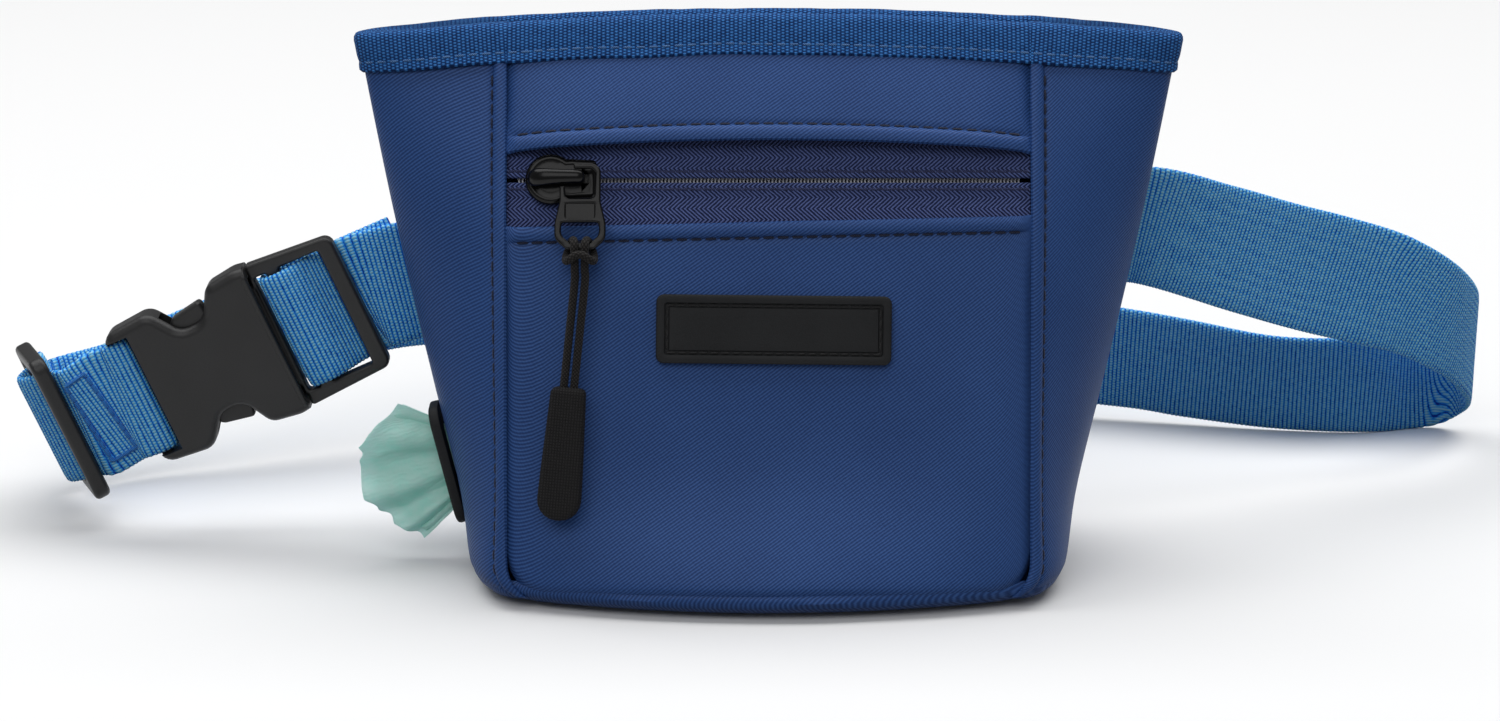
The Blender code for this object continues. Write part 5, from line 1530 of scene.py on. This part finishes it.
def dispenser_frame():
    """Frame on the fold of the left gusset: local X up the fold, Y to the back, Z out of the gusset."""
    lean = (tip_x(SLOT_HEIGHT + MM) - tip_x(SLOT_HEIGHT - MM)) / (2 * MM)
    up = Vector((-lean, 0, 1)).normalized()
    out = Vector((-1, 0, -lean)).normalized()
    return frame_at(gusset_point(-1, 0.0, SLOT_HEIGHT), up, out.cross(up), out)


def build_dispenser():
    spot = dispenser_frame()
    body = ((0.5, 0.3), (0.05, 0.5), (0, 1.0), (0, 1.9), (0.15, 2.25), (0.5, 2.45), (1.2, 2.3), (2.2, 2.25))
    lip = ((1.3, 2.3), (0.9, 2.6), (0.5, 2.75), (0.15, 2.6), (0, 2.2), (0, 0.8), (0.1, 0.3))
    rings = [(rect_ring(12.5 - inset, 5.5 - inset, 4 - inset), height) for inset, height in body]
    rings += [(rect_ring(8.5 + grow, 1.6 + grow, 1.4 + grow), height) for grow, height in lip]
    mesh = ring_mesh("slot_plate", rings, lambda x, y, h: spot @ in_mm(x, y, h), True)
    piece("slot_plate", mesh, RUBBER, "pouch", "dispenser_plate")
    build_film(spot)
    build_roll()


# Outer edge of the film as (out, up), and how far it runs straight behind the slot, in mm
FILM_EDGE = [(10.4, -14.6), (12.6, -12.6), (15.6, -10.2), (18.0, -7.0), (19.8, -3.5), (19.5, 0.5), (19.3, 4.0),
             (18.4, 7.2), (14.0, 10.8), (8.4, 14.0)]
FILM_DEPTH = 3.0
FILM_THICK = 0.08 * MM
SLOT_HALF = 7.3


def film_start(spot):
    """Where the film leaves the roll: a tangent from the slot to the roll's front, as (out, back) in mm."""
    centre = spot.inverted() @ Vector((ROLL_X, ROLL_Y, SLOT_HEIGHT))
    radius = ROLL_R + 0.55
    place = Vector((centre.z, centre.y)) / MM
    reach = sqrt(place.length_squared - radius ** 2)
    turn = atan(radius / reach)
    along = place.normalized()
    return Vector((along.x * cos(turn) - along.y * sin(turn), along.x * sin(turn) + along.y * cos(turn))) * reach


def film_grid(spot, layer):
    """Film from the roll through the slot, then a crumpled fan outside."""
    start = film_start(spot)
    columns = np.linspace(0, 1, 60)
    marks = np.linspace(0, 1, len(FILM_EDGE))
    edge = np.stack([np.interp(columns, marks, way) for way in np.array(FILM_EDGE).T], axis=1)
    grid = []
    for t in np.concatenate([np.linspace(-1, 0, 13), np.linspace(0, 1, 26)[1:]]):
        row = []
        for s, (far, high) in zip(columns, edge):
            low = SLOT_HALF * (2 * s - 1)
            fold = sin(s * 23 + 1.5 * sin(5 * s + layer) + 2.0 * layer)
            if t < 0:
                share = max((-t - 0.4) / 0.6, 0)
                deep = -FILM_DEPTH * fade(-t, 0.4) * (1 - share) + start.x * share
                place = Vector((low, start.y * share + 0.55 * fold * (1 + t) + 0.3 * layer, deep))
            else:
                ragged = 1 - 0.09 * abs(ripple(s * 9, 0, 0, 1, 7 + layer)) - 0.1 * layer
                grow = t * ragged
                pleat = (0.55 + 1.3 * grow) * fold * (1 - 0.35 * grow)
                pleat += 0.9 * grow * ripple(s * 6, t * 3, 0, 1, layer)
                up = low + (high - low) * grow ** 0.8
                out = far * grow + 0.6 * grow * ripple(s * 5, t * 4, 0, 1, 3 + layer)
                place = Vector((up, pleat + 0.3 * layer + 1.8 * layer * grow, out))
            row.append(spot @ (place * MM))
        grid.append(row)
    return grid


def build_film(spot):
    """Two layers of film. Behind the slot they stay on the roll, and outside they fan out."""
    pull = ("pouch", "bag_tail", *(tuple(spot @ in_mm(0, 0, depth)) for depth in (-FILM_DEPTH, 0.6)))
    for layer, name in ((0, "film_front"), (1, "film_rear")):
        grid = film_grid(spot, layer)
        made = sewn(name, grid, FILM_THICK, FILM, pull, *(["bag_tail"] if layer == 0 else []), sharp=80)


def build_roll():
    """Roll of bags: wound layers with a free edge, and soft ends."""
    sides = 72
    profile = [(6.4, 0.6), (8.0, 0.25), (9.6, 0.5), (11.2, 0.2), (12.2, 0.35), (ROLL_R, 0.9)]
    profile += [(ROLL_R, z) for z in np.linspace(4, ROLL_LENGTH - 4, 14)]
    profile += [(r, ROLL_LENGTH - z) for r, z in reversed(profile[:6])]
    rings = []
    for r, z in profile:
        ring = []
        for k in range(sides):
            turn = 2 * pi * k / sides
            wound = -0.3 * (k / sides) * (r > 12) + 0.06 * ripple(cos(turn) * 3, sin(turn) * 3, z / 9, 1, 2.0)
            ring.append(((r + wound) * cos(turn), (r + wound) * sin(turn)))
        rings.append((ring, ROLL_FOOT + z))
    mesh = ring_mesh("roll_film", rings, lambda x, y, h: Vector((ROLL_X + x * MM, ROLL_Y + y * MM, h * MM)), True)
    add_weave(mesh, [(point.co.z, point.co.x + point.co.y) for point in mesh.vertices])
    piece("roll_film", mesh, FILM, "bag_roll", "bag_roll")


def finish_solids():
    """Materials of the solids that are shown as they are: the roll's core and the magnets."""
    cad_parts["roll_core"].data.materials[0] = CORE.material
    for wall, side in product(("front", "back"), ("left", "right")):
        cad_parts[wall + "_magnet_" + side].data.materials[0] = STEEL.material


# Linings

DIVIDER_X = -20.5 * MM
DIVIDER_TOP = 61.7 * MM


def build_lining(name, point, depth, xs, seed, ride):
    """Lining behind a wall, from the base to just under the binding."""
    foot = WALL_FOOT + GAP
    grid = []
    for share in np.linspace(0, 1, 26):
        calm = min(share / 0.1, (1 - share) / 0.1, 1)
        row = []
        for x in xs[::-1]:
            head = rim_z(x) - BINDING_HEIGHT - GAP + 1.5 * MM
            z = foot + (head - foot) * share
            soft = 0.3 * MM * ripple(x, 0, z, 16 * MM, seed) * calm
            row.append(point(x, z, -(depth + soft)))
        grid.append(row)
    sewn(name + "_cloth", grid, LINING, LINER, ride, name)


def build_divider(front_depth, back_depth):
    """Upright sheet between the linings, beside the roll."""
    grid = []
    for z in np.linspace(WALL_FOOT, DIVIDER_TOP, 20):
        near = front_point(0, z, -(front_depth + LINING)).y + 2 * RUN_GAP
        far = back_point(0, z, -(back_depth + LINING)).y - RUN_GAP
        ys = np.linspace(far, near, 14)
        grid.append([(DIVIDER_X + 0.25 * MM * ripple(0, y, z, 15 * MM, 61.0), y, z) for y in ys])
    sewn("divider_cloth", grid, LINING, LINER, "pouch", "roll_divider")


def build_linings():
    xs = np.linspace(-CORNER_X + GAP, CORNER_X - GAP, 30)
    build_lining("front_lining", front_point, FABRIC + POCKET_SPACE, xs, 51.0, "front_wall")
    build_lining("back_lining", back_point, FABRIC + LIP_SPACE, xs[::-1], 57.0, "pouch")
    build_divider(FABRIC + POCKET_SPACE, FABRIC + LIP_SPACE)


# Stage

FLOOR_BOUNCE = 0.14
SKY_COLOUR = (0.98, 0.99, 1.0, 1)
SKY_STRENGTH = 0.2
LIGHT_AIM = Vector((0, 0, 0.05))
LIGHTS = (("top_light", (0, 0.35, 1.5), (2.8, 1.2), 28.0), ("front_light", (-0.3, -1.1, 1.1), (1.4, 0.8), 6.5))


def build_stage():
    floor = make_mesh("floor", [(-4, -4, 0), (4, -4, 0), (4, 4, 0), (-4, 4, 0)], [(0, 1, 2, 3)])
    made = put("floor", floor)
    finish = Finish("studio_floor", None, Roughness=0.9, Specular_IOR_Level=0.1)
    path = finish.node("LightPath")
    seen = Signal(finish, path.outputs["Is Camera Ray"])
    for ray in ("Is Glossy Ray", "Is Transmission Ray"):
        seen = seen.op("MAXIMUM", Signal(finish, path.outputs[ray]))
    finish.ramp(seen * 0.96 + finish.noise(0.4) * 0.04,
                *((place, (grey, grey, grey, 1)) for place, grey in ((0.0, FLOOR_BOUNCE), (0.96, 0.94), (1.0, 0.95))))
    floor.materials.append(finish.material)
    world = bpy.data.worlds.new("studio")
    bpy.context.scene.world = world
    world.use_nodes = True
    sky = world.node_tree.nodes["Background"].inputs
    sky["Color"].default_value = SKY_COLOUR
    sky["Strength"].default_value = SKY_STRENGTH
    for name, place, size, power in LIGHTS:
        light = bpy.data.lights.new(name, "AREA")
        light.shape = "RECTANGLE"
        light.size, light.size_y = size
        light.energy = power
        lamp = put(name, light)
        lamp.location = place
        lamp.rotation_euler = (LIGHT_AIM - Vector(place)).to_track_quat("-Z", "Y").to_euler()
    camera = put("camera", bpy.data.cameras.new("camera"))
    camera.data.sensor_width = 36
    camera.data.lens = CAMERA_LENS
    camera.location = CAMERA_PLACE
    camera.rotation_euler = (CAMERA_TILT, 0, 0)
    bpy.context.scene.camera = camera
    bpy.context.scene.view_settings.view_transform = "Standard"


build_stage()
build_walls()
build_gussets()
build_base()
build_binding()
build_zip()
build_slider()
build_puller()
build_tag()
build_label()
build_belt()
build_sleeve()
build_dispenser()
build_linings()
finish_solids()
